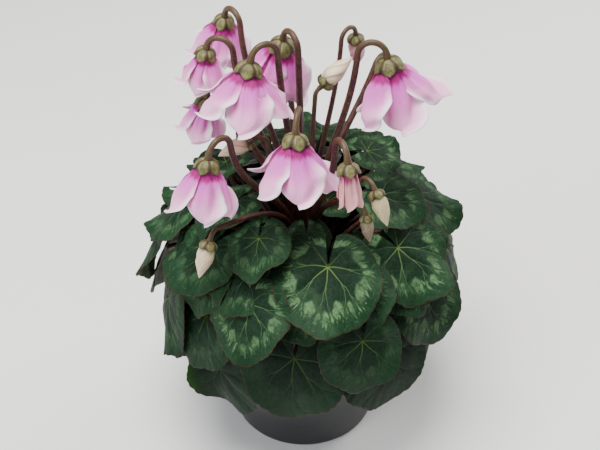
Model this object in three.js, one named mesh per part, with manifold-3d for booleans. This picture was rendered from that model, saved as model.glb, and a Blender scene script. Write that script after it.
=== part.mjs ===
// A miniature cyclamen growing in its nursery pot, with skirt-shaped flowers whose petals hang and flare.
// Millimetres, +Z up, origin at the middle of the pot's flat foot. -Y is the side that faces the viewer.
//
// The plant is one tuber, half sunk in the soil. Every leaf stalk and flower stalk rises from its crown.
// The leaf blades lie on a mound like loose roof tiles, tips out, their lobes tucked under the row above.
// The flower stalks come up through the open middle of the mound, bend outwards and end in a crook,
// from which the green calyx and the petals hang.

import * as THREE from "three";
import { mergeVertices } from "three/addons/utils/BufferGeometryUtils.js";
import Module from "manifold-3d";

const wasm = await Module();
wasm.setup();

// ---- Driving dimensions ----

const GAP = 0.4; // clearance between two pieces that touch on the real plant

const POT = { height: 95, rim: 52.5, lip: 9, shoulder: 50, foot: 37, wall: 1.4, floor: 1.8, sides: 32 };
const DRAIN = { count: 8, radius: 3.5, circle: 26 };
const SOIL = { top: 84, sides: 20, bumps: 1 };
const TUBER = { radius: 15, rise: 9, crown: 11, stub: 4.5 };

// The mound of leaves: its widest level, how far it spreads and rises there, and how it hangs below.
const MOUND = { level: 100, spread: 67, rise: 54, drop: 0.86, tuck: 0.06 };

// The leaves that face the viewer. polar: degrees down from the mound's top. compass: degrees from +X.
// half: half a blade's width. spin: degrees that the tip turns aside from straight down the mound.
const FACE = [
  { polar: 54, compass: -79, half: 23, spin: -14 },
  { polar: 58, compass: -36, half: 21.5, spin: 10 },
  { polar: 71, compass: -110, half: 19, spin: 4 },
  { polar: 57, compass: -141, half: 18.5, spin: -8 },
  { polar: 43, compass: -113, half: 14.5, spin: 12 },
  { polar: 101, compass: -93, half: 24, spin: -6 },
  { polar: 124, compass: -123, half: 20, spin: 16 },
  { polar: 86, compass: -69, half: 19, spin: -12 },
  { polar: 112, compass: -55, half: 23, spin: -14 },
  { polar: 83, compass: -33, half: 21.5, spin: -4 },
  { polar: 98, compass: -152, half: 21.5, spin: 8 },
  { polar: 89, compass: -131, half: 20, spin: -6 },
  { polar: 56, compass: 4, half: 19.5, spin: -10 },
  { polar: 36, compass: -22, half: 15.5, spin: 6 },
  { polar: 122, compass: -14, half: 20, spin: 10 },
];

// The other leaves, in rows round the far side, from the crown down.
const ROWS = [
  { polar: 34, count: 5, half: 15, from: 30, to: 210 },
  { polar: 58, count: 4, half: 20, from: 44, to: 182 },
  { polar: 83, count: 6, half: 22, from: 3, to: 178 },
  { polar: 105, count: 5, half: 22.5, from: 31, to: 172 },
  { polar: 128, count: 5, half: 21, from: 20, to: 190 },
];

// Young leaves inside the mound, on short stalks round the flower stalks.
const YOUNG = { count: 6, half: 11, steps: 7, polar: 24, step: 9, inset: 0.42, sink: 0.66 };

// A blade. offset: how far the joint lies from its middle. sinus: half the notch's angle, in radians.
// lobe: how much the lobes draw in at the notch. dome and wave: shares of half a width. stalk: its radius.
const LEAF = {
  thick: 0.8,
  steps: 12,
  offset: 0.26,
  sinus: 0.17,
  lobe: 0.3,
  dome: 0.16,
  wave: 0.05,
  roll: 9,
  stalk: 1.25,
};
const SEED = 11;

// Flowers and buds: where the calyx meets the petals, in millimetres, and the size against a full flower.
// open runs from 0, a furled flower, to 1, a full skirt. turn spins the petals about the flower's axis.
// tilt: degrees that the mouth faces out from the plant, where it isn't the usual one.
const BLOOMS = [
  { x: -22, y: -12, z: 207.5, size: 1.0, open: 1.0, turn: 10 },
  { x: -37, y: 44, z: 197, size: 0.88, open: 0.9, turn: 50 },
  { x: -10, y: 15, z: 202.5, size: 1.02, open: 0.95, turn: 40 },
  { x: 34, y: -3, z: 205, size: 1.06, open: 1.0, turn: 0 },
  { x: -42, y: 12, z: 200, size: 0.72, open: 0.8, turn: 15 },
  { x: -44, y: 16, z: 173, size: 0.75, open: 0.8, turn: 25 },
  { x: -37, y: -42, z: 182.5, size: 0.92, open: 0.85, turn: 20 },
  { x: -3, y: -30, z: 186, size: 1.0, open: 1.0, turn: 30 },
  { x: 18, y: -41, z: 181, size: 0.72, open: 0.1, turn: 35 },
  { x: -12, y: 58, z: 174, size: 0.95, open: 0.95, turn: 20 },
  { x: 38, y: 50, z: 171, size: 0.95, open: 1.0, turn: 5 },
];
const BUDS = [
  { x: -24, y: -10, z: 171, size: 0.72, tilt: 75 },
  { x: 9, y: 4, z: 193, size: 0.78, tilt: 128 },
  { x: 30, y: -38, z: 166, size: 0.7, tilt: 35 },
  { x: 26, y: -42, z: 157, size: 0.55, tilt: 20 },
  { x: -37, y: -57, z: 154, size: 0.72, tilt: 30 },
  { x: 21, y: 22, z: 202, size: 0.72, tilt: 5 },
];
const FLOWER = {
  collar: 4.1, // radius where the petals start
  length: 19.5, // how far the petals hang
  flare: 12.2, // how far they spread from the collar
  petal: 9.1, // half the width of a petal
  thick: 0.7,
  tilt: 13, // the mouth faces out from the plant by this many degrees
};
const CALYX = { radius: 5.4, height: 7.2 };

// A flower stalk. Past its crook it leads back at an angle from straight up: least for a low flower at the
// side of the mound, most for a high one.
const CROOK = { radius: 5.8, least: 108, most: 178 };
const PEDUNCLE = 1.3; // its radius

const COLOURS = {
  pot: 0x1c1e21,
  soil: 0x33241a,
  stalk: 0x5a3428,
  leaf: 0x2c4a30,
  petal: 0xf0b8dc,
  bud: 0xe6b6b4,
};

// ---- Helpers ----

const radians = THREE.MathUtils.degToRad;
const UP = new THREE.Vector3(0, 0, 1);

// A fixed draw from 0 to 1 for each item and purpose, the same on every run.
function draw(item, purpose) {
  const value = Math.sin(SEED + item * 12.9898 + purpose * 78.233) * 43758.5453;
  return value - Math.floor(value);
}

// The same draw, spread evenly about zero.
function drift(item, purpose, amount) {
  return (2 * draw(item, purpose) - 1) * amount;
}

// How far a value lies from low to high, held between 0 and 1.
function share(value, low, high) {
  return THREE.MathUtils.clamp((value - low) / (high - low), 0, 1);
}

// A closed three.js geometry as a solid for joining and cutting.
function solidOf(geometry) {
  const bare = geometry.clone();
  bare.deleteAttribute("normal");
  bare.deleteAttribute("uv");
  const merged = mergeVertices(bare, 1e-4);
  return new wasm.Manifold(
    new wasm.Mesh({
      numProp: 3,
      vertProperties: new Float32Array(merged.attributes.position.array),
      triVerts: new Uint32Array(merged.index.array),
    }),
  );
}

// A solid as a three.js geometry again.
function geometryOf(solid) {
  const mesh = solid.getMesh();
  const geometry = new THREE.BufferGeometry();
  geometry.setAttribute("position", new THREE.BufferAttribute(new Float32Array(mesh.vertProperties), 3));
  geometry.setIndex(new THREE.BufferAttribute(new Uint32Array(mesh.triVerts), 1));
  geometry.computeVertexNormals();
  return geometry;
}

function material(colour, roughness) {
  return new THREE.MeshStandardMaterial({ color: colour, roughness, metalness: 0 });
}

// A thin sheet with two faces, from a grid of points of the upper face. The lower face repeats the grid
// one thickness below it, with the same triangles, so that the two never cross.
function sheet(rows, thick) {
  const columns = rows[0].length;
  const points = rows.flat();
  const below = points.map((p) => new THREE.Vector3(p.x, p.y, p.z - thick));
  const lower = points.length;
  const at = (row, column) => row * columns + column;
  const all = [];
  for (let row = 0; row + 1 < rows.length; row++) {
    for (let column = 0; column + 1 < columns; column++) {
      const a = at(row, column);
      const b = at(row, column + 1);
      const c = at(row + 1, column + 1);
      const d = at(row + 1, column);
      all.push(a, c, b, a, d, c);
      all.push(lower + a, lower + b, lower + c, lower + a, lower + c, lower + d);
    }
  }
  const edge = [];
  for (let column = 0; column + 1 < columns; column++) edge.push(at(0, column));
  for (let row = 0; row + 1 < rows.length; row++) edge.push(at(row, columns - 1));
  for (let column = columns - 1; column > 0; column--) edge.push(at(rows.length - 1, column));
  for (let row = rows.length - 1; row > 0; row--) edge.push(at(row, 0));
  edge.forEach((a, i) => {
    const b = edge[(i + 1) % edge.length];
    all.push(a, lower + b, lower + a, a, b, lower + b);
  });
  return indexed([...points, ...below], all);
}

// A geometry from points and triangles, with points that coincide joined and flat triangles left out.
function indexed(points, indices) {
  const geometry = new THREE.BufferGeometry().setFromPoints(points);
  geometry.setIndex(indices);
  const merged = mergeVertices(geometry, 1e-4);
  const kept = [];
  for (let i = 0; i < merged.index.count; i += 3) {
    const [a, b, c] = [0, 1, 2].map((k) => merged.index.getX(i + k));
    if (a !== b && b !== c && a !== c) kept.push(a, b, c);
  }
  merged.setIndex(kept);
  merged.computeVertexNormals();
  return merged;
}

// ---- Pot, soil and tuber ----

// The outer radius of the pot's tapered wall.
function potWall(height) {
  return POT.foot + ((POT.shoulder - POT.foot) * height) / (POT.height - POT.lip);
}

function pot() {
  const lipFoot = POT.height - POT.lip;
  const outline = [
    [0, 0],
    [POT.foot - 1, 0],
    [POT.foot, 1],
    [POT.shoulder, lipFoot - 1],
    [POT.rim, lipFoot],
    [POT.rim, POT.height - 1],
    [POT.rim - 1, POT.height],
    [POT.shoulder - POT.wall, POT.height],
    [potWall(lipFoot) - POT.wall, lipFoot],
    [potWall(POT.floor) - POT.wall, POT.floor],
    [0, POT.floor],
  ];
  const body = new THREE.LatheGeometry(
    outline.map(([r, z]) => new THREE.Vector2(r, z)),
    POT.sides,
  ).rotateX(Math.PI / 2);
  const holes = [];
  for (let i = 0; i < DRAIN.count; i++) {
    const compass = (2 * Math.PI * i) / DRAIN.count;
    const hole = new THREE.CylinderGeometry(DRAIN.radius, DRAIN.radius, 3 * POT.floor, 8);
    hole.rotateX(Math.PI / 2);
    hole.translate(DRAIN.circle * Math.cos(compass), DRAIN.circle * Math.sin(compass), 0);
    holes.push(solidOf(hole));
  }
  return solidOf(body).subtract(wasm.Manifold.union(holes));
}

// The soil fills the pot, and has a hollow for the lower half of the tuber.
function soil() {
  const hollow = 4;
  const room = 0.6;
  const outline = [[0, SOIL.top - TUBER.rise - room]];
  for (let i = 1; i <= hollow; i++) {
    const angle = (i / hollow) * (Math.PI / 2);
    outline.push([(TUBER.radius + room) * Math.sin(angle), SOIL.top - (TUBER.rise + room) * Math.cos(angle)]);
  }
  const flat = Math.cos(Math.PI / POT.sides); // the pot's flat sides come this much nearer than its corners
  const wallAtTop = potWall(SOIL.top) * flat - POT.wall - GAP;
  outline.push([25, SOIL.top], [34, SOIL.top], [wallAtTop - 3, SOIL.top], [wallAtTop, SOIL.top - 1]);
  outline.push([potWall(POT.floor) * flat - POT.wall - GAP, POT.floor + GAP], [0, POT.floor + GAP]);
  const body = new THREE.LatheGeometry(
    outline.map(([r, z]) => new THREE.Vector2(r, z)).reverse(),
    SOIL.sides,
  ).rotateX(Math.PI / 2);
  const place = body.attributes.position;
  for (let i = 0; i < place.count; i++) {
    const [x, y, z] = [place.getX(i), place.getY(i), place.getZ(i)];
    if (z > SOIL.top - 0.5 && Math.hypot(x, y) > TUBER.radius + 2) {
      place.setZ(i, z + SOIL.bumps * Math.sin(x * 0.41) * Math.cos(y * 0.37));
    }
  }
  return solidOf(body);
}

// The tuber is a flattened ball, with a low crown on top from which every stalk grows.
function tuber() {
  const body = new THREE.SphereGeometry(TUBER.radius, 12, 8).rotateX(Math.PI / 2);
  body.scale(1, 1, TUBER.rise / TUBER.radius).translate(0, 0, SOIL.top);
  const crown = new THREE.SphereGeometry(TUBER.crown, 10, 6).rotateX(Math.PI / 2);
  crown.scale(1, 1, TUBER.stub / TUBER.crown).translate(0, 0, SOIL.top + TUBER.rise - 1);
  return solidOf(body).add(solidOf(crown));
}

// ---- Stalks ----

class Path extends THREE.Curve {
  constructor(place) {
    super();
    this.place = place;
  }

  getPoint(t) {
    return this.place(t);
  }

  // Sections fall at even steps of the parameter, not of the length, so that a tight crook gets its share.
  getUtoTmapping(u) {
    return u;
  }
}

function bezier(a, b, c, d, t) {
  const s = 1 - t;
  return new THREE.Vector3()
    .addScaledVector(a, s * s * s)
    .addScaledVector(b, 3 * s * s * t)
    .addScaledVector(c, 3 * s * t * t)
    .addScaledVector(d, t * t * t);
}

function tube(place, radius, sides, steps) {
  const section = new THREE.Shape();
  for (let i = 0; i < sides; i++) {
    const angle = (2 * Math.PI * i) / sides;
    const point = [radius * Math.cos(angle), radius * Math.sin(angle)];
    if (i === 0) section.moveTo(...point);
    else section.lineTo(...point);
  }
  const options = { steps, bevelEnabled: false, extrudePath: new Path(place) };
  return solidOf(new THREE.ExtrudeGeometry(section, options));
}

// Where a stalk starts: inside the tuber's crown, on the side that it grows towards.
function root(compass, out) {
  return new THREE.Vector3(out * Math.cos(compass), out * Math.sin(compass), SOIL.top + TUBER.rise - 3.5);
}

// ---- Leaves ----

// The mound's surface at an angle down from its top and a compass angle.
function moundPoint(polar, compass) {
  const over = Math.max(0, polar - 90);
  const bend = radians(Math.min(polar, 90));
  const out = MOUND.spread * (Math.sin(bend) - MOUND.tuck * (over / 60) ** 2);
  const up = MOUND.level + MOUND.rise * Math.cos(bend) - MOUND.drop * over;
  return new THREE.Vector3(out * Math.cos(compass), out * Math.sin(compass), up);
}

// Distance from a blade's joint to its edge, at an angle from the tip, as a share of its half width.
function bladeEdge(angle) {
  const round = LEAF.offset * Math.cos(angle) + Math.sqrt(1 - (LEAF.offset * Math.sin(angle)) ** 2);
  const tip = 0.1 * Math.exp(-((angle / 0.22) ** 2));
  const lobe = Math.max(0, (Math.abs(angle) - 2.5) / (Math.PI - 2.5));
  return (round + tip) * (1 - LEAF.lobe * lobe * lobe);
}

// Height of a blade over the plane at its joint: a dome with a soft wave that grows towards the edge.
function bladeHeight(share, angle, phase) {
  return -LEAF.dome * share * share + LEAF.wave * share ** 3 * Math.sin(3 * angle + phase);
}

function bladePoint(leaf, share, angle) {
  const out = share * bladeEdge(angle);
  return new THREE.Vector3(
    leaf.half * out * Math.sin(angle),
    leaf.half * out * Math.cos(angle),
    leaf.half * bladeHeight(out, angle, leaf.phase),
  );
}

function blade(leaf, steps = LEAF.steps) {
  const reach = Math.PI - LEAF.sinus;
  const rows = [0, 0.52, 1].map((share) => {
    const ring = [];
    for (let i = 0; i <= steps; i++) {
      ring.push(bladePoint(leaf, share, reach * (1 - (2 * i) / steps)));
    }
    return ring;
  });
  return sheet(rows, LEAF.thick);
}

// Every leaf's place, turn and size, from the crown down. The blade's middle lies on the mound.
function leafPlans() {
  const seats = FACE.map((leaf) => ({ ...leaf }));
  ROWS.forEach((row) => {
    for (let i = 0; i < row.count; i++) {
      const item = seats.length;
      const step = (row.to - row.from) / (row.count - 1);
      seats.push({
        polar: row.polar + drift(item, 2, 3),
        compass: row.from + step * (i + drift(item, 1, 0.12)),
        half: row.half * (1 + drift(item, 3, 0.09)),
        spin: drift(item, 4, 16),
      });
    }
  });
  seats.sort((a, b) => a.polar - b.polar);
  return seats.map(seatLeaf);
}

function seatLeaf(seat, item) {
  const compass = radians(seat.compass);
  const middle = moundPoint(seat.polar, compass);
  const down = moundPoint(seat.polar + 1, compass).sub(moundPoint(seat.polar - 1, compass)).normalize();
  const across = new THREE.Vector3(Math.sin(compass), -Math.cos(compass), 0);
  const out = new THREE.Vector3().crossVectors(across, down);
  const hang = share(seat.polar, 108, 128);
  const tilt = (12 + 11 * share(seat.polar, 35, 80)) * (1 - 0.6 * hang) + drift(item, 5, 4);
  const turn = new THREE.Matrix4()
    .makeBasis(across, down, out)
    .multiply(new THREE.Matrix4().makeRotationZ(radians(seat.spin)))
    .multiply(new THREE.Matrix4().makeRotationX(radians(tilt)))
    .multiply(new THREE.Matrix4().makeRotationY(radians(LEAF.roll + drift(item, 6, 3))));
  const joint = middle.sub(new THREE.Vector3(0, (LEAF.offset + 0.05) * seat.half, 0).applyMatrix4(turn));
  return { ...seat, item, compass, turn, joint, out, phase: 2 * Math.PI * draw(item, 7) };
}

// The young leaves stand on a smaller mound within, each a golden angle on from the last.
function youngLeaves(first) {
  const young = [];
  for (let i = 0; i < YOUNG.count; i++) {
    const item = first + i;
    const seat = {
      polar: YOUNG.polar + YOUNG.step * i,
      compass: 137.5 * i,
      half: YOUNG.half * (1 + drift(item, 3, 0.1)),
      spin: drift(item, 4, 20),
    };
    const leaf = seatLeaf(seat, item);
    leaf.joint.set(
      leaf.joint.x * YOUNG.inset,
      leaf.joint.y * YOUNG.inset,
      MOUND.level + (leaf.joint.z - MOUND.level) * YOUNG.sink,
    );
    young.push(leaf);
  }
  return young;
}

function leafPlace(leaf) {
  return leaf.turn.clone().setPosition(leaf.joint);
}

// Moves each blade out from the mound, lowest row first, until it clears the blades that are already placed.
function spreadLeaves(plans) {
  const step = 0.5;
  const placed = [];
  for (const leaf of [...plans].reverse()) {
    const shape = blade(leaf);
    let solid = solidOf(shape.clone().applyMatrix4(leafPlace(leaf)));
    while (placed.some((other) => solid.minGap(other, 1) < GAP)) {
      leaf.joint.addScaledVector(leaf.out, step);
      solid = solidOf(shape.clone().applyMatrix4(leafPlace(leaf)));
    }
    placed.push(solid);
  }
}

// A leaf stalk rises from the crown, arches over and meets its blade from behind, across a small gap.
// The stalks of the hanging leaves clear the pot's rim first, so they come down nearly flat against the blade.
function petiole(leaf, gap = GAP) {
  const place = leafPlace(leaf);
  const lean = radians(82 * share(leaf.polar, 58, 122));
  const arrive = new THREE.Vector3(0, Math.sin(lean), Math.cos(lean)).transformDirection(leaf.turn);
  const below = -LEAF.thick - gap - 0.85 * LEAF.stalk * Math.sin(lean);
  const end = new THREE.Vector3(0, 0, below).applyMatrix4(place);
  const start = root(leaf.compass, 4.5 + 5 * share(leaf.polar, 30, 130));
  const reach = start.distanceTo(end);
  const out = new THREE.Vector3(Math.cos(leaf.compass), Math.sin(leaf.compass), 3);
  const rise = start.clone().add(out.setLength(0.5 * reach));
  const arch = 0.42 + 0.76 * share(leaf.polar, 84, 129) ** 2;
  const before = end.clone().addScaledVector(arrive, -arch * reach);
  return tube((t) => bezier(start, rise, before, end, t), LEAF.stalk, 3, leaf.polar > 95 ? 6 : 5);
}

// ---- Flowers ----

// The flower's own frame: +Z towards the stalk, +X out from the plant.
function flowerPlace(flower) {
  const compass = Math.atan2(flower.y, flower.x);
  return new THREE.Matrix4()
    .makeTranslation(flower.x, flower.y, flower.z)
    .multiply(new THREE.Matrix4().makeRotationZ(compass))
    .multiply(new THREE.Matrix4().makeRotationY(radians(-(flower.tilt ?? FLOWER.tilt))));
}

// A point of a petal: along runs from the collar to the tip, aside from -1 to 1 across it. One side of every
// petal lies over its neighbour and the other side under.
function petalPoint(flower, along, aside) {
  const open = flower.open;
  const reach = FLOWER.flare * (0.25 + 0.75 * open);
  const spread = FLOWER.collar - 0.9 + reach * Math.sin((along * Math.PI) / 2) ** (1.35 - 0.15 * open);
  const drop = -1.2 - FLOWER.length * along * (1.08 - 0.12 * open * along);
  const swell = Math.sin(Math.min(1, along / 0.66) * (Math.PI / 2));
  const taper = Math.sqrt(Math.max(0, 1 - (Math.max(0, along - 0.66) / 0.36) ** 2));
  const width = (1.6 + (FLOWER.petal * (0.62 + 0.38 * open) - 1.6) * swell) * taper;
  const round = spread + aside * (0.7 + 0.6 * Math.min(1, along * 2.2));
  const compass = aside * Math.min(0.87, width / spread);
  return new THREE.Vector3(round * Math.cos(compass), round * Math.sin(compass), drop);
}

// A petal's thickness runs towards the flower's axis, so its grid is laid flat first and turned up after.
function petal(flower, index) {
  const upright = new THREE.Matrix4().makeRotationY(Math.PI / 2);
  const flat = upright.clone().invert();
  const rows = [0, 0.35, 0.72, 0.97].map((along) =>
    [-1, -0.36, 0.36, 1].map((aside) => petalPoint(flower, along, aside).applyMatrix4(flat)),
  );
  const geometry = sheet(rows, FLOWER.thick).applyMatrix4(upright);
  geometry.rotateZ((2 * Math.PI * index) / 5 + radians(flower.turn));
  return solidOf(geometry);
}

function corolla(flower) {
  const collar = new THREE.CylinderGeometry(FLOWER.collar, FLOWER.collar + 0.3, 3.2, 10);
  collar.rotateX(Math.PI / 2).translate(0, 0, -GAP - 1.6);
  const pieces = [solidOf(collar)];
  for (let i = 0; i < 5; i++) pieces.push(petal(flower, i));
  return wasm.Manifold.union(pieces);
}

function budBody() {
  const outline = [
    [0, -GAP],
    [2.9, -GAP - 0.3],
    [4.1, -5],
    [3.5, -10.5],
    [0, -19],
  ];
  return new THREE.LatheGeometry(
    outline.map(([r, z]) => new THREE.Vector2(r, z)).reverse(),
    7,
  ).rotateX(Math.PI / 2);
}

// Five sepals, as a ridged dome.
function calyx(size) {
  const sides = 10;
  const outline = [
    [0, 0],
    [CALYX.radius, 0],
    [CALYX.radius * 0.9, CALYX.height * 0.6],
    [0, CALYX.height],
  ];
  const dome = new THREE.LatheGeometry(
    outline.map(([r, z]) => new THREE.Vector2(r, z)),
    sides,
  ).rotateX(Math.PI / 2);
  const place = dome.attributes.position;
  for (let i = 0; i < place.count; i++) {
    const [x, y] = [place.getX(i), place.getY(i)];
    const ridge = 1 + 0.06 * Math.cos(5 * Math.atan2(y, x));
    place.setXY(i, x * ridge, y * ridge);
  }
  return dome.scale(size, size, size);
}

// A flower stalk rises through the open middle of the mound, bends out, and turns over into the calyx.
function peduncle(flower, item) {
  const place = flowerPlace(flower);
  const isBud = flower.open === undefined;
  const radius = isBud ? 0.75 * PEDUNCLE : PEDUNCLE;
  const crook = isBud ? 0.75 * CROOK.radius : CROOK.radius;
  const top = new THREE.Vector3(0, 0, CALYX.height * calyxSize(flower) - 1.2);
  const arc = (angle) => {
    const point = new THREE.Vector3(-crook * (1 - Math.cos(angle)), 0, crook * Math.sin(angle));
    return point.add(top).applyMatrix4(place);
  };
  const height = Math.atan2(flower.z - 145, Math.hypot(flower.x, flower.y));
  const last = THREE.MathUtils.lerp(CROOK.least, CROOK.most, share(height, radians(5), radians(35)));
  const sweep = radians(last - (flower.tilt ?? FLOWER.tilt));
  const shoulder = arc(sweep);
  const leave = shoulder.clone().sub(arc(sweep - 0.05)).normalize();
  const start = root(Math.atan2(flower.y, flower.x), 1.5 + 3 * draw(item, 9));
  const reach = start.distanceTo(shoulder);
  const rise = start.clone().addScaledVector(UP, 0.55 * reach);
  const before = shoulder.clone().addScaledVector(leave, 0.33 * reach);
  const stem = 0.64; // the share of the path's parameter before the crook
  const route = (t) =>
    t < stem ? bezier(start, rise, before, shoulder, t / stem) : arc((sweep * (1 - t)) / (1 - stem));
  return tube(route, radius, 4, 11);
}

function calyxSize(flower) {
  return flower.open === undefined ? flower.size : Math.max(0.85, flower.size);
}

// ---- Assembly ----

const plant = new THREE.Group();

function add(parent, name, geometry, look, place) {
  const mesh = new THREE.Mesh(geometry, look);
  mesh.name = name;
  if (place) {
    mesh.applyMatrix4(place);
  }
  parent.add(mesh);
}

const looks = {
  pot: material(COLOURS.pot, 0.5),
  soil: material(COLOURS.soil, 1),
  stalk: material(COLOURS.stalk, 0.6),
  leaf: material(COLOURS.leaf, 0.55),
  petal: material(COLOURS.petal, 0.6),
  bud: material(COLOURS.bud, 0.6),
};
const numbered = (kind, index) => `${kind}_${String(index + 1).padStart(2, "0")}`;

const leaves = leafPlans();
spreadLeaves(leaves);

add(plant, "pot", geometryOf(pot()), looks.pot);
add(plant, "soil", geometryOf(soil()), looks.soil);

const grown = [tuber()];
const foliage = new THREE.Group();
leaves.forEach((leaf, index) => {
  grown.push(petiole(leaf));
  add(foliage, numbered("leaf", index), blade(leaf), looks.leaf, leafPlace(leaf));
});

const flowers = new THREE.Group();
BLOOMS.forEach((bloom, index) => {
  const place = flowerPlace(bloom);
  const size = bloom.size;
  grown.push(peduncle(bloom, index));
  grown.push(solidOf(calyx(calyxSize(bloom)).applyMatrix4(place)));
  const geometry = geometryOf(corolla(bloom)).scale(size, size, size);
  add(flowers, numbered("bloom", index), geometry, looks.petal, place);
});
BUDS.forEach((bud, index) => {
  const place = flowerPlace(bud);
  grown.push(peduncle(bud, BLOOMS.length + index));
  grown.push(solidOf(calyx(bud.size).applyMatrix4(place)));
  const geometry = budBody().scale(bud.size, bud.size, bud.size);
  add(flowers, numbered("bud", index), geometryOf(solidOf(geometry)), looks.bud, place);
});
youngLeaves(leaves.length).forEach((leaf) => {
  grown.push(petiole(leaf, -0.6 * LEAF.thick));
  grown.push(solidOf(blade(leaf, YOUNG.steps).applyMatrix4(leafPlace(leaf))));
});

// Pin-sized hollows between crowded stalks are filled: only the outer skin is kept.
const skins = wasm.Manifold.union(grown).decompose();
const outer = skins.reduce((most, skin) => (skin.volume() > most.volume() ? skin : most));
add(plant, "tuber_and_stalks", geometryOf(outer), looks.stalk);
plant.add(foliage, flowers);

export default plant;
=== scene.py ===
# %% [markdown]
# # A miniature cyclamen in its nursery pot
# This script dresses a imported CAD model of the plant. The model fixes where every leaf, flower and stalk is,
# and each piece here is a finer version of one of its nodes, in the same place. Sizes are in millimetres and
# turn into Blender's metres in one helper. Colours are linear red, green and blue.

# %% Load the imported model
from math import atan2, cos, degrees, hypot, pi, radians, sin

import bpy
import numpy as np
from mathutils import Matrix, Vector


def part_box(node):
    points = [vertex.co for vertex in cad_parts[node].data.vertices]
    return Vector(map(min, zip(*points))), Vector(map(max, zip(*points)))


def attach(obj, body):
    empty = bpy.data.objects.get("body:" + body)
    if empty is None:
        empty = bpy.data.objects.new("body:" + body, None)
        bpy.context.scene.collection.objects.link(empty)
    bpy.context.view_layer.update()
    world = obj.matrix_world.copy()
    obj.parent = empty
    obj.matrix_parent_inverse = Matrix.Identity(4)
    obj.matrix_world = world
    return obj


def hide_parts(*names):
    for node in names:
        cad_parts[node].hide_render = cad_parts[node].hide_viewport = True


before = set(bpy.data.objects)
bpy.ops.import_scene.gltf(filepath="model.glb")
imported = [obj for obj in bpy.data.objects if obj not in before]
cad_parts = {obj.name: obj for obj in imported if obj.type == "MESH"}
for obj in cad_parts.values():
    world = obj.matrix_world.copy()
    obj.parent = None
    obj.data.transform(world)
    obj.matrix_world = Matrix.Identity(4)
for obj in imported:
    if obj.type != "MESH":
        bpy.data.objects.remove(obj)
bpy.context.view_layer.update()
print("nodes in the packed model:", len(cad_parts))

# %% [markdown]
# ## Camera
# The photograph looks down on the plant from its front, at a little under half a metre. The camera stands
# where that one stood, and its lens is chosen so that this one plant fills the picture.

# %% Camera
MM = 0.001
LENS = 61
CAMERA_PLACE, CAMERA_TARGET = (8, -354, 426), (-2, 0, 117)
scene = bpy.context.scene


def look_from(thing, place, target):
    """Puts a camera or lamp at a place, turned to face the target. Both are in millimetres."""
    way = np.subtract(target, place)
    flat = hypot(way[0], way[1])
    thing.location = [v * MM for v in place]
    thing.rotation_euler = (pi / 2 + atan2(way[2], flat), 0, atan2(-way[0], way[1]))
    scene.collection.objects.link(thing)


lens = bpy.data.cameras.new("camera")
lens.lens = LENS
lens.clip_start = 0.01
camera = bpy.data.objects.new("camera", lens)
look_from(camera, CAMERA_PLACE, CAMERA_TARGET)
scene.camera = camera
print("camera placed")

# %% [markdown]
# ## Floor and lamps
# A wide pale floor and big soft lamps give shadows without hard edges, so that colour and shape are easy to
# judge. The strongest lamp hangs over the plant, as the daylight in a greenhouse comes from above.

# %% Floor and lamps
FLOOR_HALF = 3.0  # metres
LAMP_TARGET = (0, 0, 110)
# place in millimetres, width in metres, watts, colour
LAMPS = {
    "overhead": ((-150, -60, 1150), 0.7, 24, (1.0, 0.98, 0.95)),
    "front_left": ((-700, -620, 620), 0.6, 6, (0.95, 0.98, 1.0)),
    "back_right": ((620, 520, 560), 0.5, 6, (1.0, 0.96, 0.92)),
}
ROOM_COLOUR, ROOM_LIGHT = (0.86, 0.9, 0.95, 1), 0.4

floor_mesh = bpy.data.meshes.new("floor")
floor_corners = [(x * FLOOR_HALF, y * FLOOR_HALF, 0) for x, y in ((-1, -1), (1, -1), (1, 1), (-1, 1))]
floor_mesh.from_pydata(floor_corners, [], [(0, 1, 2, 3)])
floor = bpy.data.objects.new("floor", floor_mesh)
scene.collection.objects.link(floor)
for name, (place, width, watts, colour) in LAMPS.items():
    lamp = bpy.data.lights.new(name, "AREA")
    lamp.shape = "DISK"
    lamp.size = width
    lamp.energy = watts
    lamp.color = colour
    look_from(bpy.data.objects.new(name, lamp), place, LAMP_TARGET)
scene.world = bpy.data.worlds.new("room")
scene.world.use_nodes = True
room = scene.world.node_tree.nodes["Background"]
room.inputs["Color"].default_value = ROOM_COLOUR
room.inputs["Strength"].default_value = ROOM_LIGHT
print("lamps placed:", len(LAMPS))

# %% [markdown]
# ## Small tools: fixed draws
# No two leaves are alike, yet the script has to make the same plant on every run. So each random choice is a
# fixed draw, worked out from the leaf's number. The CAD model uses the same rule, which is why the pieces
# here can be computed again and still land on its nodes.

# %% Fixed draws and shares
SEED = 11


def draw(item, purpose):
    """A number from 0 to 1, always the same for this item and purpose."""
    return (sin(SEED + item * 12.9898 + purpose * 78.233) * 43758.5453) % 1


def drift(item, purpose, amount):
    return (2 * draw(item, purpose) - 1) * amount


def share(value, low, high):
    """How far a value lies from low to high, held between 0 and 1."""
    return np.clip((value - low) / (high - low), 0, 1)


def ease(value, low, high):
    """The same, with a soft start and end."""
    t = share(value, low, high)
    return t * t * (3 - 2 * t)


def rotation(axis, angle):
    """A 3x3 turn about an axis by an angle in degrees."""
    c, s = cos(radians(angle)), sin(radians(angle))
    a, b = {"x": (1, 2), "y": (2, 0), "z": (0, 1)}[axis]
    turn = np.eye(3)
    turn[a, a], turn[a, b], turn[b, a], turn[b, b] = c, -s, s, c
    return turn


def unit(vector):
    return np.asarray(vector, float) / np.linalg.norm(vector)


print("first draws:", [round(draw(i, 1), 3) for i in range(3)])

# %% [markdown]
# ## Small tools: meshes
# A blade or a petal is a thin sheet with an upper and a lower face, joined round its rim, so that it is a
# closed body like the real one. The sheet is a grid of points. On a leaf, the grid's first row shrinks to
# the single point where the stalk joins. A pot, a bud or a tuber is a profile turned about the upright axis.

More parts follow.
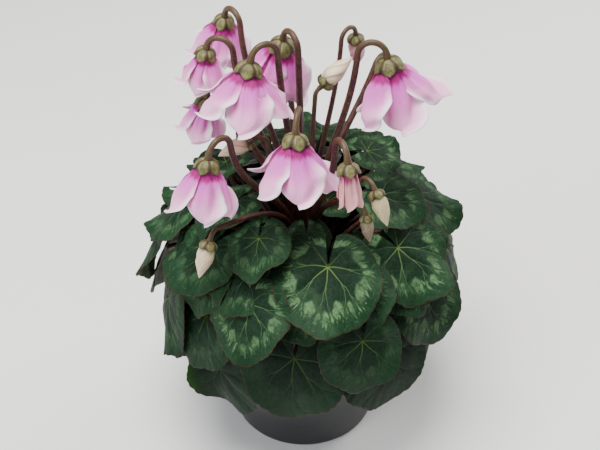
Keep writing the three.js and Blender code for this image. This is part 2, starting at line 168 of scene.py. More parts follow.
# %% Mesh helpers
def mesh_object(name, points, faces, materials=()):
    """A smooth-shaded object from points in millimetres."""
    mesh = bpy.data.meshes.new(name)
    mesh.from_pydata((np.asarray(points) * MM).tolist(), [], faces)
    for look in materials:
        mesh.materials.append(look)
    mesh.polygons.foreach_set("use_smooth", np.ones(len(mesh.polygons), bool))
    thing = bpy.data.objects.new(name, mesh)
    scene.collection.objects.link(thing)
    return thing


def sheet_faces(rows, columns, fan=False):
    """Faces of a closed two-faced sheet: upper, then lower, then rim. The lower points follow the upper ones
    in the same order. With fan, the first row is one point. Also returns how many faces each part has."""
    at = np.arange(rows * columns).reshape(rows, columns)
    if fan:
        at = np.maximum(at - columns + 1, 0)
    upper = np.stack([at[:-1, :-1], at[1:, :-1], at[1:, 1:], at[:-1, 1:]], -1).reshape(-1, 4).tolist()
    if fan:
        upper = [face[:3] for face in upper[:columns - 1]] + upper[columns - 1:]
    count = int(at[-1, -1]) + 1
    lower = [[count + p for p in reversed(face)] for face in upper]
    edge = [*at[:, 0], *at[-1, 1:], *at[-2:0:-1, -1]] + ([] if fan else [*at[0, :0:-1]])
    edge = [int(p) for p in edge]
    rim = [[q, p, count + p, count + q] for p, q in zip(edge, edge[1:] + edge[:1])]
    return upper + lower + rim, (len(upper), len(lower), len(rim))


def thickened(grid, thickness):
    """The lower face of a grid of points: each point moved against the surface's own normal."""
    along, aside = np.gradient(grid, axis=0), np.gradient(grid, axis=1)
    normal = np.cross(along, aside)
    normal /= np.maximum(np.linalg.norm(normal, axis=-1, keepdims=True), 1e-9)
    return grid - normal * np.asarray(thickness)[..., None]


def sheet(grid, thickness):
    """Points, faces and face counts of the closed sheet over a plain grid."""
    under = thickened(grid, np.broadcast_to(thickness, grid.shape[:2]))
    return np.vstack([grid.reshape(-1, 3), under.reshape(-1, 3)]), *sheet_faces(*grid.shape[:2])


def turned(profile, sides, shape=None):
    """Points and faces of a profile of (radius, height) turned about Z. It starts and ends on the axis."""
    angle = np.linspace(0, 2 * pi, sides, endpoint=False)
    rings = np.array(profile[1:-1], float)
    heights = np.repeat(rings[:, 1:], sides, 1)
    points = np.stack([rings[:, :1] * np.cos(angle), rings[:, :1] * np.sin(angle), heights], -1)
    if shape:
        points = shape(points, angle)
    first, last = len(rings) * sides, len(rings) * sides + 1
    points = np.vstack([points.reshape(-1, 3), [[0, 0, profile[0][1]], [0, 0, profile[-1][1]]]])
    faces = []
    for j in range(sides):
        k = (j + 1) % sides
        faces.append([first, k, j])
        faces.append([last, (len(rings) - 1) * sides + j, (len(rings) - 1) * sides + k])
        for i in range(len(rings) - 1):
            faces.append([i * sides + j, i * sides + k, (i + 1) * sides + k, (i + 1) * sides + j])
    return points, faces


def set_uv(thing, name, per_point, corners=(), values=()):
    """A UV map from one pair of values per point. The corners listed take values of their own instead."""
    mesh = thing.data
    point_of = np.empty(len(mesh.loops), int)
    mesh.loops.foreach_get("vertex_index", point_of)
    pairs = np.asarray(per_point, float)[point_of]
    if len(corners):
        pairs[corners] = values
    mesh.uv_layers.new(name=name).data.foreach_set("uv", pairs.ravel())


def set_values(thing, name, values):
    made = thing.data.attributes.new(name, "FLOAT", "POINT")
    made.data.foreach_set("value", np.asarray(values, float))


def triangles(thing):
    return sum(len(face.vertices) - 2 for face in thing.data.polygons)


def hand_in(piece, slot, *nodes):
    """Parents a finished piece to the root body and hides the nodes of the CAD model that it stands for. The
    slot is not used.
    """
    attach(piece, "root")
    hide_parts(*nodes)


print("mesh helpers ready")

# %% [markdown]
# ## Small tools: finishes
# Every finish is a node tree on the Principled shader. A Signal is what one node puts out, and arithmetic on
# signals makes further nodes, so that a finish reads like a formula. Patterns read either the object's own
# coordinates in metres, or a UV map that follows the leaf or the petal.

# %% Finish helpers
def put(tree, socket, value):
    """Links an output to an input, or sets the input to a plain value."""
    if isinstance(value, Signal):
        value = value.socket
    if isinstance(value, bpy.types.NodeSocket):
        tree.links.new(value, socket)
    elif isinstance(value, tuple) and len(value) == 3 and socket.type == "RGBA":
        socket.default_value = (*value, 1)
    else:
        socket.default_value = value


def add_node(tree, kind, inputs=(), **settings):
    made = tree.nodes.new(kind)
    for key, value in settings.items():
        setattr(made, key, value)
    for key, value in dict(inputs).items():
        put(tree, made.inputs[key], value)
    return made


class Signal:
    """What a node of a finish puts out."""

    def __init__(self, look, socket):
        self.look, self.socket = look, socket

    def __add__(self, other):
        return self.look.math("ADD", self, other)

    def __sub__(self, other):
        return self.look.math("SUBTRACT", self, other)

    def __rsub__(self, other):
        return self.look.math("SUBTRACT", other, self)

    def __mul__(self, other):
        return self.look.math("MULTIPLY", self, other)

    def __truediv__(self, other):
        return self.look.math("DIVIDE", self, other)

    def __abs__(self):
        return self.look.math("ABSOLUTE", self)


class Finish:
    """A material, and short calls for the nodes that the finishes share. Each call gives a Signal."""

    def __init__(self, name, roughness, **fixed):
        self.material = bpy.data.materials.new(name)
        self.material.use_nodes = True
        self.tree = self.material.node_tree
        self.shader = self.tree.nodes["Principled BSDF"].inputs
        for socket, value in {"Roughness": roughness, **fixed}.items():
            self.shader[socket.replace("_", " ")].default_value = value

    def signal(self, kind, inputs=(), output=0, **settings):
        made = add_node(self.tree, "ShaderNode" + kind, inputs, **settings)
        return Signal(self, made.outputs[output])

    def math(self, operation, *values):
        return self.signal("Math", enumerate(values), operation=operation)

    def ramp(self, value, low, high, start=0.0, end=1.0):
        """A soft step from start to end as value goes from low to high."""
        inputs = enumerate((value, low, high, start, end))
        return self.signal("MapRange", inputs, interpolation_type="SMOOTHSTEP")

    def mix(self, factor, a, b):
        return self.signal("Mix", {0: factor, 6: a, 7: b}, 2, data_type="RGBA")

    def place(self):
        return self.signal("TexCoord", output="Object")

    def uv(self, name):
        """The two values of a UV map."""
        split = add_node(self.tree, "ShaderNodeSeparateXYZ", {0: self.signal("UVMap", uv_map=name)})
        return Signal(self, split.outputs[0]), Signal(self, split.outputs[1])

    def value(self, name):
        return self.signal("Attribute", output="Fac", attribute_name=name)

    def noise(self, vector, scale, detail=2.0, roughness=0.5, distortion=0.0):
        inputs = {"Vector": vector, "Scale": scale, "Detail": detail, "Roughness": roughness,
                  "Distortion": distortion}
        return self.signal("TexNoise", inputs, "Fac")

    def net(self, vector, scale):
        """Distance to the nearest wall of a net of random cells, in cell widths."""
        inputs = {"Vector": vector, "Scale": scale}
        return self.signal("TexVoronoi", inputs, "Distance", feature="DISTANCE_TO_EDGE")

    def pair(self, x, y, z=0.0):
        return self.signal("CombineXYZ", enumerate((x, y, z)))

    def done(self, colour, roughness=None, height=None, depth=0.0003):
        """Feeds the shader. Depth is how deep the bump of the height signal is, in metres."""
        put(self.tree, self.shader["Base Color"], colour)
        if roughness is not None:
            put(self.tree, self.shader["Roughness"], roughness)
        if height is not None:
            bump = self.signal("Bump", {"Height": height, "Distance": depth, "Strength": 1.0})
            put(self.tree, self.shader["Normal"], bump)
        return self.material


print("finish helpers ready")

# %% [markdown]
# ## Floor finish
# A plain pale studio floor: nearly white, dull, with a faint cloudiness so that it isn't one flat value.

# %% Floor finish
pale = Finish("pale_floor", 0.75)
cloud = pale.noise(pale.place(), 3.0, 3.0)
floor_mesh.materials.append(pale.done(pale.mix(cloud, (0.80, 0.80, 0.79), (0.85, 0.85, 0.84))))
print("floor finished")

# %% [markdown]
# ## Where the leaves are
# The blades cover a mound like loose roof tiles, tips out. This is the CAD model's own rule, written again: a
# seat is an angle down from the top, a compass angle and a size. The tips stand off the mound by 12 degrees
# at the top and 23 on its flank, and the lowest hang close to it again.

# %% Leaf seats
MOUND = {"level": 100, "spread": 67, "rise": 54, "drop": 0.86, "tuck": 0.06}
# polar, compass, half width, spin, silver: how strong the pale zone is on this leaf
FACE_LEAVES = [
    (54, -79, 23, -14, 1.0), (58, -36, 21.5, 10, 0.9), (71, -110, 19, 4, 0.85), (57, -141, 18.5, -8, 0.35),
    (43, -113, 14.5, 12, 0.45), (101, -93, 24, -6, 0.1), (124, -123, 20, 16, 0.1), (86, -69, 19, -12, 0.2),
    (112, -55, 23, -14, 0.15), (83, -33, 21.5, -4, 0.85), (98, -152, 21.5, 8, 0.5), (89, -131, 20, -6, 0.3),
    (56, 4, 19.5, -10, 0.6), (36, -22, 15.5, 6, 0.55), (122, -14, 20, 10, 0.3),
]
# polar, count, half width, from, to
LEAF_ROWS = [(34, 5, 15, 30, 210), (58, 4, 20, 44, 182), (83, 6, 22, 3, 178), (105, 5, 22.5, 31, 172),
             (128, 5, 21, 20, 190)]
YOUNG = {"count": 6, "half": 11, "polar": 24, "step": 9, "inset": 0.42, "sink": 0.66}
BLADE = {"thick": 0.8, "offset": 0.26, "sinus": 0.17, "lobe": 0.3, "dome": 0.16, "wave": 0.05, "roll": 9}


def mound_point(polar, compass):
    over, bend = max(0, polar - 90), radians(min(polar, 90))
    out = MOUND["spread"] * (sin(bend) - MOUND["tuck"] * (over / 60) ** 2)
    up = MOUND["level"] + MOUND["rise"] * cos(bend) - MOUND["drop"] * over
    return np.array([out * cos(compass), out * sin(compass), up])


def seat_leaf(polar, compass, half, spin, silver, item):
    around = radians(compass)
    middle = mound_point(polar, around)
    down = unit(mound_point(polar + 1, around) - mound_point(polar - 1, around))
    across = np.array([sin(around), -cos(around), 0])
    out = np.cross(across, down)
    tilt = (12 + 11 * share(polar, 35, 80)) * (1 - 0.6 * share(polar, 108, 128)) + drift(item, 5, 4)
    turn = np.stack([across, down, out], 1) @ rotation("z", spin) @ rotation("x", tilt)
    turn = turn @ rotation("y", BLADE["roll"] + drift(item, 6, 3))
    joint = middle - turn @ [0, (BLADE["offset"] + 0.05) * half, 0]
    return {"polar": polar, "compass": around, "half": half, "turn": turn, "joint": joint, "out": out,
            "phase": 2 * pi * draw(item, 7), "item": item, "silver": silver}


def leaf_seats():
    seats = list(FACE_LEAVES)
    for polar, count, half, start, end in LEAF_ROWS:
        for i in range(count):
            item = len(seats)
            compass = start + (end - start) / (count - 1) * (i + drift(item, 1, 0.12))
            seats.append((polar + drift(item, 2, 3), compass, half * (1 + drift(item, 3, 0.09)),
                          drift(item, 4, 16), 0.35 + 0.6 * draw(item, 8)))
    seats.sort(key=lambda seat: seat[0])
    return [seat_leaf(*seat, item) for item, seat in enumerate(seats)]


leaves = leaf_seats()
print("leaves seated:", len(leaves))

# %% [markdown]
# ## The outline and the dome of a blade
# A cyclamen blade is heart-shaped: nearly round, with a small point at the tip and two lobes that almost
# close over the notch where the stalk joins. It is easiest to draw in polar coordinates about that joint. The
# surface is a low dome with a wave that grows towards the edge. The CAD model also nudged each blade outwards
# until it cleared its neighbours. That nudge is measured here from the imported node's box, so that the finer
# blade lands on it.

# %% Blade outline
REACH = pi - BLADE["sinus"]
LOBE_START = 2.5  # radians from the tip
COARSE_RINGS, COARSE_SPOKES = (0, 0.52, 1.0), 13  # the CAD model's own mesh of a blade
NUDGE_STEP, NUDGE_ERROR = 0.5, 0.2


def blade_edge(angle):
    """Distance from the joint to the edge, in half widths, at an angle from the tip."""
    off = BLADE["offset"]
    lobe = np.maximum(0, (np.abs(angle) - LOBE_START) / (pi - LOBE_START))
    rounded = off * np.cos(angle) + np.sqrt(1 - (off * np.sin(angle)) ** 2)
    return (rounded + 0.1 * np.exp(-((angle / 0.22) ** 2))) * (1 - BLADE["lobe"] * lobe * lobe)


def blade_height(out, angle, phase):
    return -BLADE["dome"] * out**2 + BLADE["wave"] * out**3 * np.sin(3 * angle + phase)


def placed(leaf, local):
    return local @ leaf["turn"].T + leaf["joint"]


def coarse_blade(leaf):
    """The CAD model's own few points of this blade, before its nudge."""
    angle = np.linspace(REACH, -REACH, COARSE_SPOKES)
    out = np.array(COARSE_RINGS)[:, None] * blade_edge(angle)
    height = blade_height(out, angle, leaf["phase"])
    local = np.stack([out * np.sin(angle), out * np.cos(angle), height], -1)
    local = (local * leaf["half"]).reshape(-1, 3)
    return placed(leaf, np.vstack([local, local - [0, 0, BLADE["thick"]]]))


nudges = []
for number, leaf in enumerate(leaves, 1):
    low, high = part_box(f"leaf_{number:02d}")
    points = coarse_blade(leaf)
    gap = (np.array(low) + np.array(high)) / 2 / MM - (points.min(0) + points.max(0)) / 2
    nudge = round(float(gap @ leaf["out"]) / NUDGE_STEP) * NUDGE_STEP
    leaf["joint"] = leaf["joint"] + leaf["out"] * nudge
    left = np.abs(gap - leaf["out"] * nudge).max()
    assert left < NUDGE_ERROR, (number, left)
    nudges.append(nudge)
print("blades nudged outwards, mm:", nudges)

# %% [markdown]
# ## Veins and relief
# From the joint, a cyclamen leaf sends out a fan of main veins. They bend towards the tip as they run, and
# each forks past the middle of the blade. The pattern is one formula in polar coordinates, so the mesh can
# sink its grooves where the finish paints the veins. The blade puffs up a little between the veins, and its
# free tip half, which no neighbour covers, waves, cups and creases by its own amounts.

# %% Vein and relief formulas
VEIN_STEP = radians(47)
FORKS = [(0.36, 0.40), (0.68, 0.34)]  # where each fork starts, and how fast its arms part
# heights in half widths of the leaf, and the width of a vein's groove
RELIEF = {"puff": 0.015, "groove": 0.07, "ripple": 0.026, "pit": 0.03, "swing": 0.07, "swing_low": 0.045,
          "cup": 0.02, "more_cup": 0.11, "crease": 0.16}


def vein_count(out, angle, phase):
    """Which vein a point lies on, as a number: whole numbers are veins."""
    bent = angle + 0.22 * out * np.sin(angle)
    stray = 0.05 * np.sin(2.3 * angle + phase) + 0.045 * np.sin(7 * out + 3 * angle + 2 * phase)
    return (bent + stray * share(out, 0, 0.4)) / VEIN_STEP


def vein_distance(count, out):
    """Distance to the nearest main vein or fork, in half widths."""
    aside = np.abs(count - np.round(count))
    for start, spread in FORKS:
        aside = np.abs(aside - np.maximum(0, out - start) * spread)
    return aside * out * VEIN_STEP


def relief(leaf, out, angle, count):
    """Height of the fine blade in half widths."""
    item, phase = leaf["item"], leaf["phase"]
    puff = 1 - np.exp(-((vein_distance(count, out) / RELIEF["groove"]) ** 2))
    height = blade_height(out, angle, phase) + RELIEF["puff"] * puff * share(out, 0.06, 0.3)
    height = height + RELIEF["ripple"] * out**2 * np.sin(6 * angle + 2 * phase)
    height = height - RELIEF["pit"] * np.exp(-((out / 0.11) ** 2))
    free = ease(out * np.cos(angle), -0.35, 0.85)
    hangs = share(leaf["polar"], 70, 95)  # the lowest leaves set the plant's width, so they stay flatter
    swing = np.sin((4 + 2 * draw(item, 31)) * angle + 6 * draw(item, 32))
    swing = swing + 0.2 * np.sin(11 * angle + 6 * draw(item, 33))
    swing = out**3 * (RELIEF["swing"] - RELIEF["swing_low"] * hangs) * swing
    cup = (RELIEF["cup"] + RELIEF["more_cup"] * draw(item, 34)) * (1 - hangs)
    crease = RELIEF["crease"] * draw(item, 35) * (1 - 0.8 * hangs) * np.abs(out * np.sin(angle))
    return height + free * (swing + out**2 * cup + crease)


print("main veins round a joint:", round(2 * REACH / VEIN_STEP) + 1)

# %% [markdown]
# ## The blade as a mesh
# The edge of the blade has small blunt teeth, cut only into the outermost rings of the mesh, where the blade
# also gets thinner. Two UV maps carry what the finish needs: "veins" counts veins round the joint and gives
# the distance from it, and "zone" gives the share of the way to the edge and the leaf's silver. On the one
# point at the joint every vein meets, so the corners of its faces each take the count of their own face.

# %% Blade mesh
# depths as shares of the way to the edge, and the share where the teeth begin
TEETH = {"count": 38, "depth": 0.022, "start": 0.93, "scallop": 0.012}


def blade_mesh(name, leaf, rings=15, columns=229, thickness=0.45, teeth=TEETH["count"], bend=None):
    """A fine blade of two faces and a rim. bend moves the finished grid, for a rolled margin."""
    phase, edge = leaf["phase"], TEETH["start"]
    angle = np.linspace(REACH, -REACH, columns)
    shares = np.concatenate([np.linspace(0, edge, rings - 1), [0.975, 1.0]])[:, None]
    tooth = np.abs(np.sin(teeth * angle / 2 + 0.5 * np.sin(5 * angle + phase))) ** 0.7 - 0.6
    scallop = TEETH["scallop"] * np.cos(2 * pi * vein_count(1.0, angle, phase))
    out = shares * blade_edge(angle) * (1 + scallop)
    out = out * (1 + TEETH["depth"] * tooth * share(shares, edge, 1.0))
    count = vein_count(out, angle, phase)
    height = relief(leaf, out, angle, count)
    grid = np.stack([out * np.sin(angle), out * np.cos(angle), height], -1) * leaf["half"]
    if bend:
        grid = bend(grid, leaf["half"])
    under = thickened(grid, thickness * (1 - 0.55 * share(shares, edge, 1.0)) * np.ones(columns))
    under[0] = grid[0, 0] - [0, 0, thickness]
    fan = [np.vstack([face[:1, 0], face[1:].reshape(-1, 3)]) for face in (grid, under)]
    faces, parts = sheet_faces(len(shares), columns, fan=True)
    blade = mesh_object(name, placed(leaf, np.vstack(fan)), faces, LEAF_FINISHES)
    blade.data.polygons.foreach_set("material_index", np.repeat([0, 1, 0], parts))

    def flat(values):
        """One value per point of the mesh from one per point of the grid."""
        return np.concatenate([[values[0, 0]], values[1:].ravel()] * 2)

    starts = np.empty(len(blade.data.polygons), int)
    blade.data.polygons.foreach_get("loop_start", starts)
    spokes = np.arange(columns - 1)
    poles = np.concatenate([starts[spokes], starts[parts[0] + spokes] + 2])
    middles = np.tile((count[1, :-1] + count[1, 1:]) / 2, 2)
    pole_pairs = np.stack([middles, 0 * middles], 1)
    set_uv(blade, "veins", np.stack([flat(count), flat(out)], 1), poles, pole_pairs)
    reach = flat(np.repeat(shares, columns, 1))
    set_uv(blade, "zone", np.stack([reach, np.full(len(reach), leaf["silver"])], 1))
    # painted highlight: the outer part of the rolled margin is marked here, to be drawn lighter and greener
    rolled_highlight = flat(ease(out * np.sin(angle), 0.6, 1.0) * (1 if bend else 0))
    # painted shade: the lower a leaf sits on the mound, the darker its colour is drawn
    low = 1 - 0.75 * share(leaf["polar"], 62, 112)
    set_values(blade, "light", np.maximum(low, 0.7 * rolled_highlight))
    set_values(blade, "rolled_highlight", rolled_highlight)
    return blade


print("teeth round a blade:", TEETH["count"])

# %% [markdown]
# ## Leaf finish
# A young cyclamen leaf is dark bottle green, with a paler, broken ring of silvery green at about two thirds
# of the way out. The ring comes from air under the leaf's skin, so it breaks up in ragged flakes between the
# veins. The veins are yellow-green, strongest near the joint and towards the tip. Low leaves are older and
# plainer, and their colour is darkened as painted shade. A rolled margin gets a painted highlight of bright
# green. The underside is dull and paler, with a reddish cast.

# %% Leaf finishes
NET_SCALE = 330  # cells of the smallest veins in a metre


def vein_lines(look, width):
    """Veins and forks as a signal from 0 to 1, the distance to them, and the two values of the UV map."""
    count, out = look.uv("veins")
    stray = (look.noise(look.place(), 210, 2) - 0.5) * look.ramp(out, 0.1, 0.5, 0.0, 0.22)
    aside = abs(look.math("FRACT", count + stray + 0.5) - 0.5)
    for start, spread in FORKS:
        aside = abs(aside - look.math("MAXIMUM", out - start, 0.0) * spread)
    distance = aside * out * VEIN_STEP
    sharp = 1.0 - distance / (out * (-0.5 * width) + width)
    return look.ramp(sharp, 0.0, 0.8), distance, count, out


def pale_zone(look, distance, count, reach, silver, net, flake, blotch):
    """The pale ring: a rounded patch between every two veins, frayed into rays on its outer side."""
    place = look.place()
    rays = look.noise(look.pair(count * 13.0, reach * 2.2, silver), 1.0, 3, 0.7)
    where = reach + (look.noise(place, 95, 2) * 0.16 - 0.08)
    inner = look.ramp(distance * 0.6 + where, 0.63, 0.70)
    outer = look.ramp(rays * -0.7 + where, 0.455, 0.375)
    patch = inner * outer * look.ramp(distance, 0.004, 0.045)
    patch = patch * (look.ramp(flake, 0.30, 0.50, 0.25, 1.0) * look.ramp(net, 0.0, 0.06, 0.45, 1.0))
    patch = patch * look.ramp(look.noise(place, 170, 2), 0.34, 0.56, 0.4, 1.0)
    specks = look.ramp(flake, 0.6, 0.67) * (look.ramp(reach, 0.5, 0.7) * look.ramp(reach, 0.97, 0.85))
    haze = look.ramp(reach, 0.1, 0.5) * look.ramp(blotch, 0.5, 0.75) * 0.16
    patch = look.math("MAXIMUM", patch, specks * 0.7)
    return look.math("MAXIMUM", patch, haze) * silver


def leaf_face():
    look = Finish("leaf_face", 0.5, Specular_IOR_Level=0.12)
    place = look.place()
    line, distance, count, out = vein_lines(look, 0.021)
    reach, silver = look.uv("zone")
    blotch = look.noise(place, 130, 3)
    flake = look.noise(place, 620, 4, 0.65, 0.6)
    net = look.net(place, NET_SCALE)
    heart = look.mix(blotch, (0.0020, 0.0115, 0.0044), (0.0050, 0.0205, 0.0088))
    margin = look.mix(blotch, (0.0044, 0.0210, 0.0082), (0.0100, 0.0380, 0.0145))
    green = look.mix(look.ramp(blotch * 0.3 + reach, 0.55, 1.0), heart, margin)
    pale = pale_zone(look, distance, count, reach, silver, net, flake, blotch)
    silvery = look.mix(flake, (0.042, 0.112, 0.040), (0.125, 0.222, 0.104))
    colour = look.mix(pale, green, silvery)
    # the fine net of small veins, then the main ones over it
    threads = look.ramp(net, 0.07, 0.01) * look.ramp(reach, 0.02, 0.3)
    colour = look.mix(threads * 0.11, colour, (0.045, 0.12, 0.045))
    bright = look.mix(look.ramp(out, 0.0, 0.65), (0.105, 0.180, 0.038), (0.060, 0.130, 0.056))
    strength = line * look.ramp(out, 1.2, 0.15, 0.30, 1.0) * (silver * 0.5 + 0.42)
    colour = look.mix(strength * look.ramp(abs(count), 3.3, 1.2, 0.3, 1.0), colour, bright)
    # the thin brown edge, and a painted highlight of bright green on a margin that is rolled up
    colour = look.mix(look.ramp(reach, 0.978, 0.999), colour, (0.055, 0.028, 0.018))
    # painted highlight: the rolled margin turns a brighter green
    highlight_green = look.mix(blotch, (0.009, 0.036, 0.004), (0.026, 0.080, 0.010))
    lit = flake * 0.5 + look.ramp(reach, 0.5, 1.0, 0.0, 0.75)
    colour = look.mix(look.value("rolled_highlight") * lit, colour, highlight_green)
    # painted shade: the colour's value follows the light attribute, so low leaves come out darker
    shade = look.signal("HueSaturation", {"Color": colour, "Value": look.value("light") * 0.66 + 0.34})
    pebble = look.ramp(net, 0.0, 0.35) * 0.4 + line * -0.9
    return look.done(shade, pale * 0.14 + (blotch * 0.16 + 0.54), flake * 0.25 + pebble, 0.00018)


def leaf_back():
    look = Finish("leaf_back", 0.6)
    place = look.place()
    line = vein_lines(look, 0.04)[0]
    green = look.mix(look.noise(place, 160, 3), (0.060, 0.105, 0.050), (0.105, 0.145, 0.080))
    flush = look.ramp(look.noise(place, 60, 2), 0.35, 0.7)
    colour = look.mix(flush * 0.45, green, (0.14, 0.058, 0.062))
    colour = look.mix(line * 0.7, colour, (0.19, 0.16, 0.09))
    height = line + look.ramp(look.net(place, NET_SCALE), 0.12, 0.0) * 0.3
    return look.done(colour, None, height, 0.0003)


LEAF_FINISHES = [leaf_face(), leaf_back()]
print("leaf finishes:", [look.name for look in LEAF_FINISHES])

# %% [markdown]
# ## The forty leaf blades
# Each blade is a piece of its own, because on the plant each is a separate leaf that can be picked off. One
# low leaf at the front left has rolled its outer side up, as leaves that rub on a tray's edge do, and its
# margin is drawn lighter and greener as a painted highlight.

# %% Leaf blades
ROLLED_POLAR = 124  # only the rolled leaf sits at this angle


def rolled_side(grid, half):
    """Bends the side with positive x up and over, more the further out it lies."""
    x, z = grid[..., 0] / half, grid[..., 2]
    lift = np.maximum(0, x - 0.15)
    bent = grid.copy()
    bent[..., 0] = (x - 0.42 * lift**2) * half
    bent[..., 2] = z + 0.75 * half * lift**1.8
    return bent


total = 0
for number, leaf in enumerate(leaves, 1):
    bend = rolled_side if leaf["polar"] == ROLLED_POLAR else None
    blade = blade_mesh(f"blade_{number:02d}", leaf, bend=bend)
    hand_in(blade, "leaf", f"leaf_{number:02d}")
    total += triangles(blade)
print("blades:", len(leaves), "triangles:", total)

# %% [markdown]
# ## Young leaves
# Inside the mound, small new leaves stand on short stalks round the flower stalks. Under the outer blades
# there are three rings of smaller ones, which on the plant keep one from seeing through the mound. Both are
# the same blade on a smaller mound. The CAD model has the new leaves only, as the rings hardly show.

# %% Young and inner leaves
# polar angle, share of the mound's size and number of leaves of each inner ring
INNER = {"half": 15, "rings": [(66, 0.76, 11), (84, 0.84, 11), (62, 0.97, 16)]}
GOLDEN_ANGLE = 137.5


def inset_leaf(item, polar, compass, half, inset, sink):
    """A leaf on the mound, brought closer to its axis by the factor inset and to its level by sink."""
    leaf = seat_leaf(polar, compass, half * (1 + drift(item, 3, 0.1)), drift(item, 4, 20), 0.5, item)
    x, y, z = leaf["joint"]
    level = MOUND["level"]
    leaf["joint"] = np.array([x * inset, y * inset, level + (z - level) * sink])
    return leaf


young = []
for i in range(YOUNG["count"]):
    polar = YOUNG["polar"] + YOUNG["step"] * i
    young.append(inset_leaf(len(leaves) + i, polar, GOLDEN_ANGLE * i, YOUNG["half"], YOUNG["inset"],
                            YOUNG["sink"]))
for row, (polar, inset, places) in enumerate(INNER["rings"]):
    for i in range(places):
        item = len(leaves) + len(young)
        compass = 360 / places * (i + 0.5 * row + drift(item, 1, 0.2))
        young.append(inset_leaf(item, polar + drift(item, 2, 5), compass, INNER["half"], inset, inset))
for number, leaf in enumerate(young, 1):
    blade = blade_mesh(f"young_blade_{number:02d}", leaf, rings=9, columns=115, thickness=0.5, teeth=28)
    hand_in(blade, "leaf", "tuber_and_stalks")
print("young and inner leaves:", len(young))

# %% [markdown]
# ## Paths of the stalks
# Every stalk rises from the crown of the tuber. A leaf stalk arches over and meets its blade from behind. A
# flower stalk climbs through the open middle of the mound, bends out, and turns over in a tight crook from
# which the flower hangs. Both are cubic curves between a few named points, and the crook is a plain arc.

# %% Stalk paths
SOIL_TOP, TUBER_RISE = 84, 9
LEAF_STALK, FLOWER_STALK = 1.2, 1.42
LEAF_STALK_POINTS = 18
FLOWER_TILT = 13
CALYX_HEIGHT = 7.2
CROOK = {"radius": 5.8, "least": 108, "most": 178}
BUD_STALK = 0.75  # against a flower's
# x, y, z of the calyx's mouth, size against a full flower, how open it is, turn of the petals
BLOOMS = [
    (-22, -12, 207.5, 1.0, 1.0, -2), (-37, 44, 197, 0.88, 0.9, 50), (-10, 15, 202.5, 1.02, 0.95, 40),
    (34, -3, 205, 1.06, 1.0, 0), (-42, 12, 200, 0.72, 0.8, 15), (-44, 16, 173, 0.75, 0.8, 25),
    (-37, -42, 182.5, 0.92, 0.85, 40), (-3, -30, 186, 1.0, 1.0, 14), (18, -41, 181, 0.72, 0.1, 35),
    (-12, 58, 174, 0.95, 0.95, 20), (38, 50, 171, 0.95, 1.0, 5),
]
# x, y, z, size, tilt, and the bud's tint
BUDS = [
    (-24, -10, 171, 0.72, 75, (0.66, 0.50, 0.34)), (9, 4, 193, 0.78, 128, (0.74, 0.62, 0.42)),
    (30, -38, 166, 0.7, 35, (0.48, 0.42, 0.23)), (26, -42, 157, 0.55, 20, (0.13, 0.09, 0.05)),
    (-37, -57, 154, 0.72, 30, (0.66, 0.52, 0.34)), (21, 22, 202, 0.72, 5, (0.68, 0.36, 0.42)),
]


def cubic(a, b, c, d, points):
    t = np.linspace(0, 1, points)[:, None]
    return a * (1 - t) ** 3 + 3 * b * t * (1 - t) ** 2 + 3 * c * t * t * (1 - t) + d * t**3


def root(compass, out):
    return np.array([out * cos(compass), out * sin(compass), SOIL_TOP + TUBER_RISE - 3.5])


def leaf_stalk_path(leaf):
    polar, compass, turn = leaf["polar"], leaf["compass"], leaf["turn"]
    lean = radians(82 * share(polar, 58, 122))
    arrive = turn @ [0, sin(lean), cos(lean)]
    end = leaf["joint"] + turn @ [0, 0, -0.035 * leaf["half"] - 0.5 - 0.6 * sin(lean)]
    start = root(compass, 4.5 + 5 * share(polar, 30, 130))
    reach = np.linalg.norm(end - start)
    rise = start + unit([cos(compass), sin(compass), 3]) * 0.5 * reach
    before = end - arrive * reach * (0.42 + 0.76 * share(polar, 84, 129) ** 2)
    return cubic(start, rise, before, end, LEAF_STALK_POINTS)


def flower_stalk_path(place, turn, tilt, calyx_size, crook, item):
    """From the crown up and over the crook, into the calyx at place. turn holds the flower's directions."""
    x, y, z = place

    def arc(angle):
        out = np.stack([-crook * (1 - np.cos(angle)), 0 * angle, crook * np.sin(angle)], -1)
        return place + (out + [0, 0, CALYX_HEIGHT * calyx_size - 1.2]) @ turn.T

    height = degrees(atan2(z - 145, hypot(x, y)))
    last = CROOK["least"] + (CROOK["most"] - CROOK["least"]) * share(height, 5, 35)
    sweep = radians(last - tilt)
    near = arc(np.array([sweep, sweep - 0.05]))
    leave = unit(near[0] - near[1])
    start = root(atan2(y, x), 1.5 + 3 * draw(item, 9))
    reach = np.linalg.norm(near[0] - start)
    climb = cubic(start, start + [0, 0, 0.55 * reach], near[0] + leave * 0.33 * reach, near[0], 26)
    end = place + turn @ [0, 0, 2.4 * calyx_size]
    return np.vstack([climb, arc(sweep * np.linspace(1, 0, 14)[1:]), end])


flowers = [dict(at=np.array(b[:3], float), size=b[3], open=b[4], spin=b[5], tilt=FLOWER_TILT) for b in BLOOMS]
buds = [dict(at=np.array(b[:3], float), size=b[3], tilt=b[4], tint=b[5]) for b in BUDS]
for item, flower in enumerate(flowers + buds):
    small = 1 if item < len(flowers) else BUD_STALK
    x, y, _ = flower["at"]
    # the flower's own directions as columns: Z towards the stalk, X out from the plant
    flower["turn"] = rotation("z", degrees(atan2(y, x))) @ rotation("y", -flower["tilt"])
    flower["calyx"] = max(0.85, flower["size"]) if item < len(flowers) else flower["size"]
    flower["path"] = flower_stalk_path(flower["at"], flower["turn"], flower["tilt"], flower["calyx"],
                                       small * CROOK["radius"], item)
    flower["radius"] = small * FLOWER_STALK
lengths = [np.linalg.norm(np.diff(flower["path"], axis=0), axis=1).sum() for flower in flowers]
print("longest flower stalk, mm:", round(max(lengths)))

# %% [markdown]
# ## Stalk finish
# The stalks are fleshy and smooth, red-brown below, and greener where a flower stalk turns over. The colour
# follows the stalk through an attribute that runs from 0 at the root to 1 at the flower. Fine lengthwise
# streaks and small pale dots break it up.

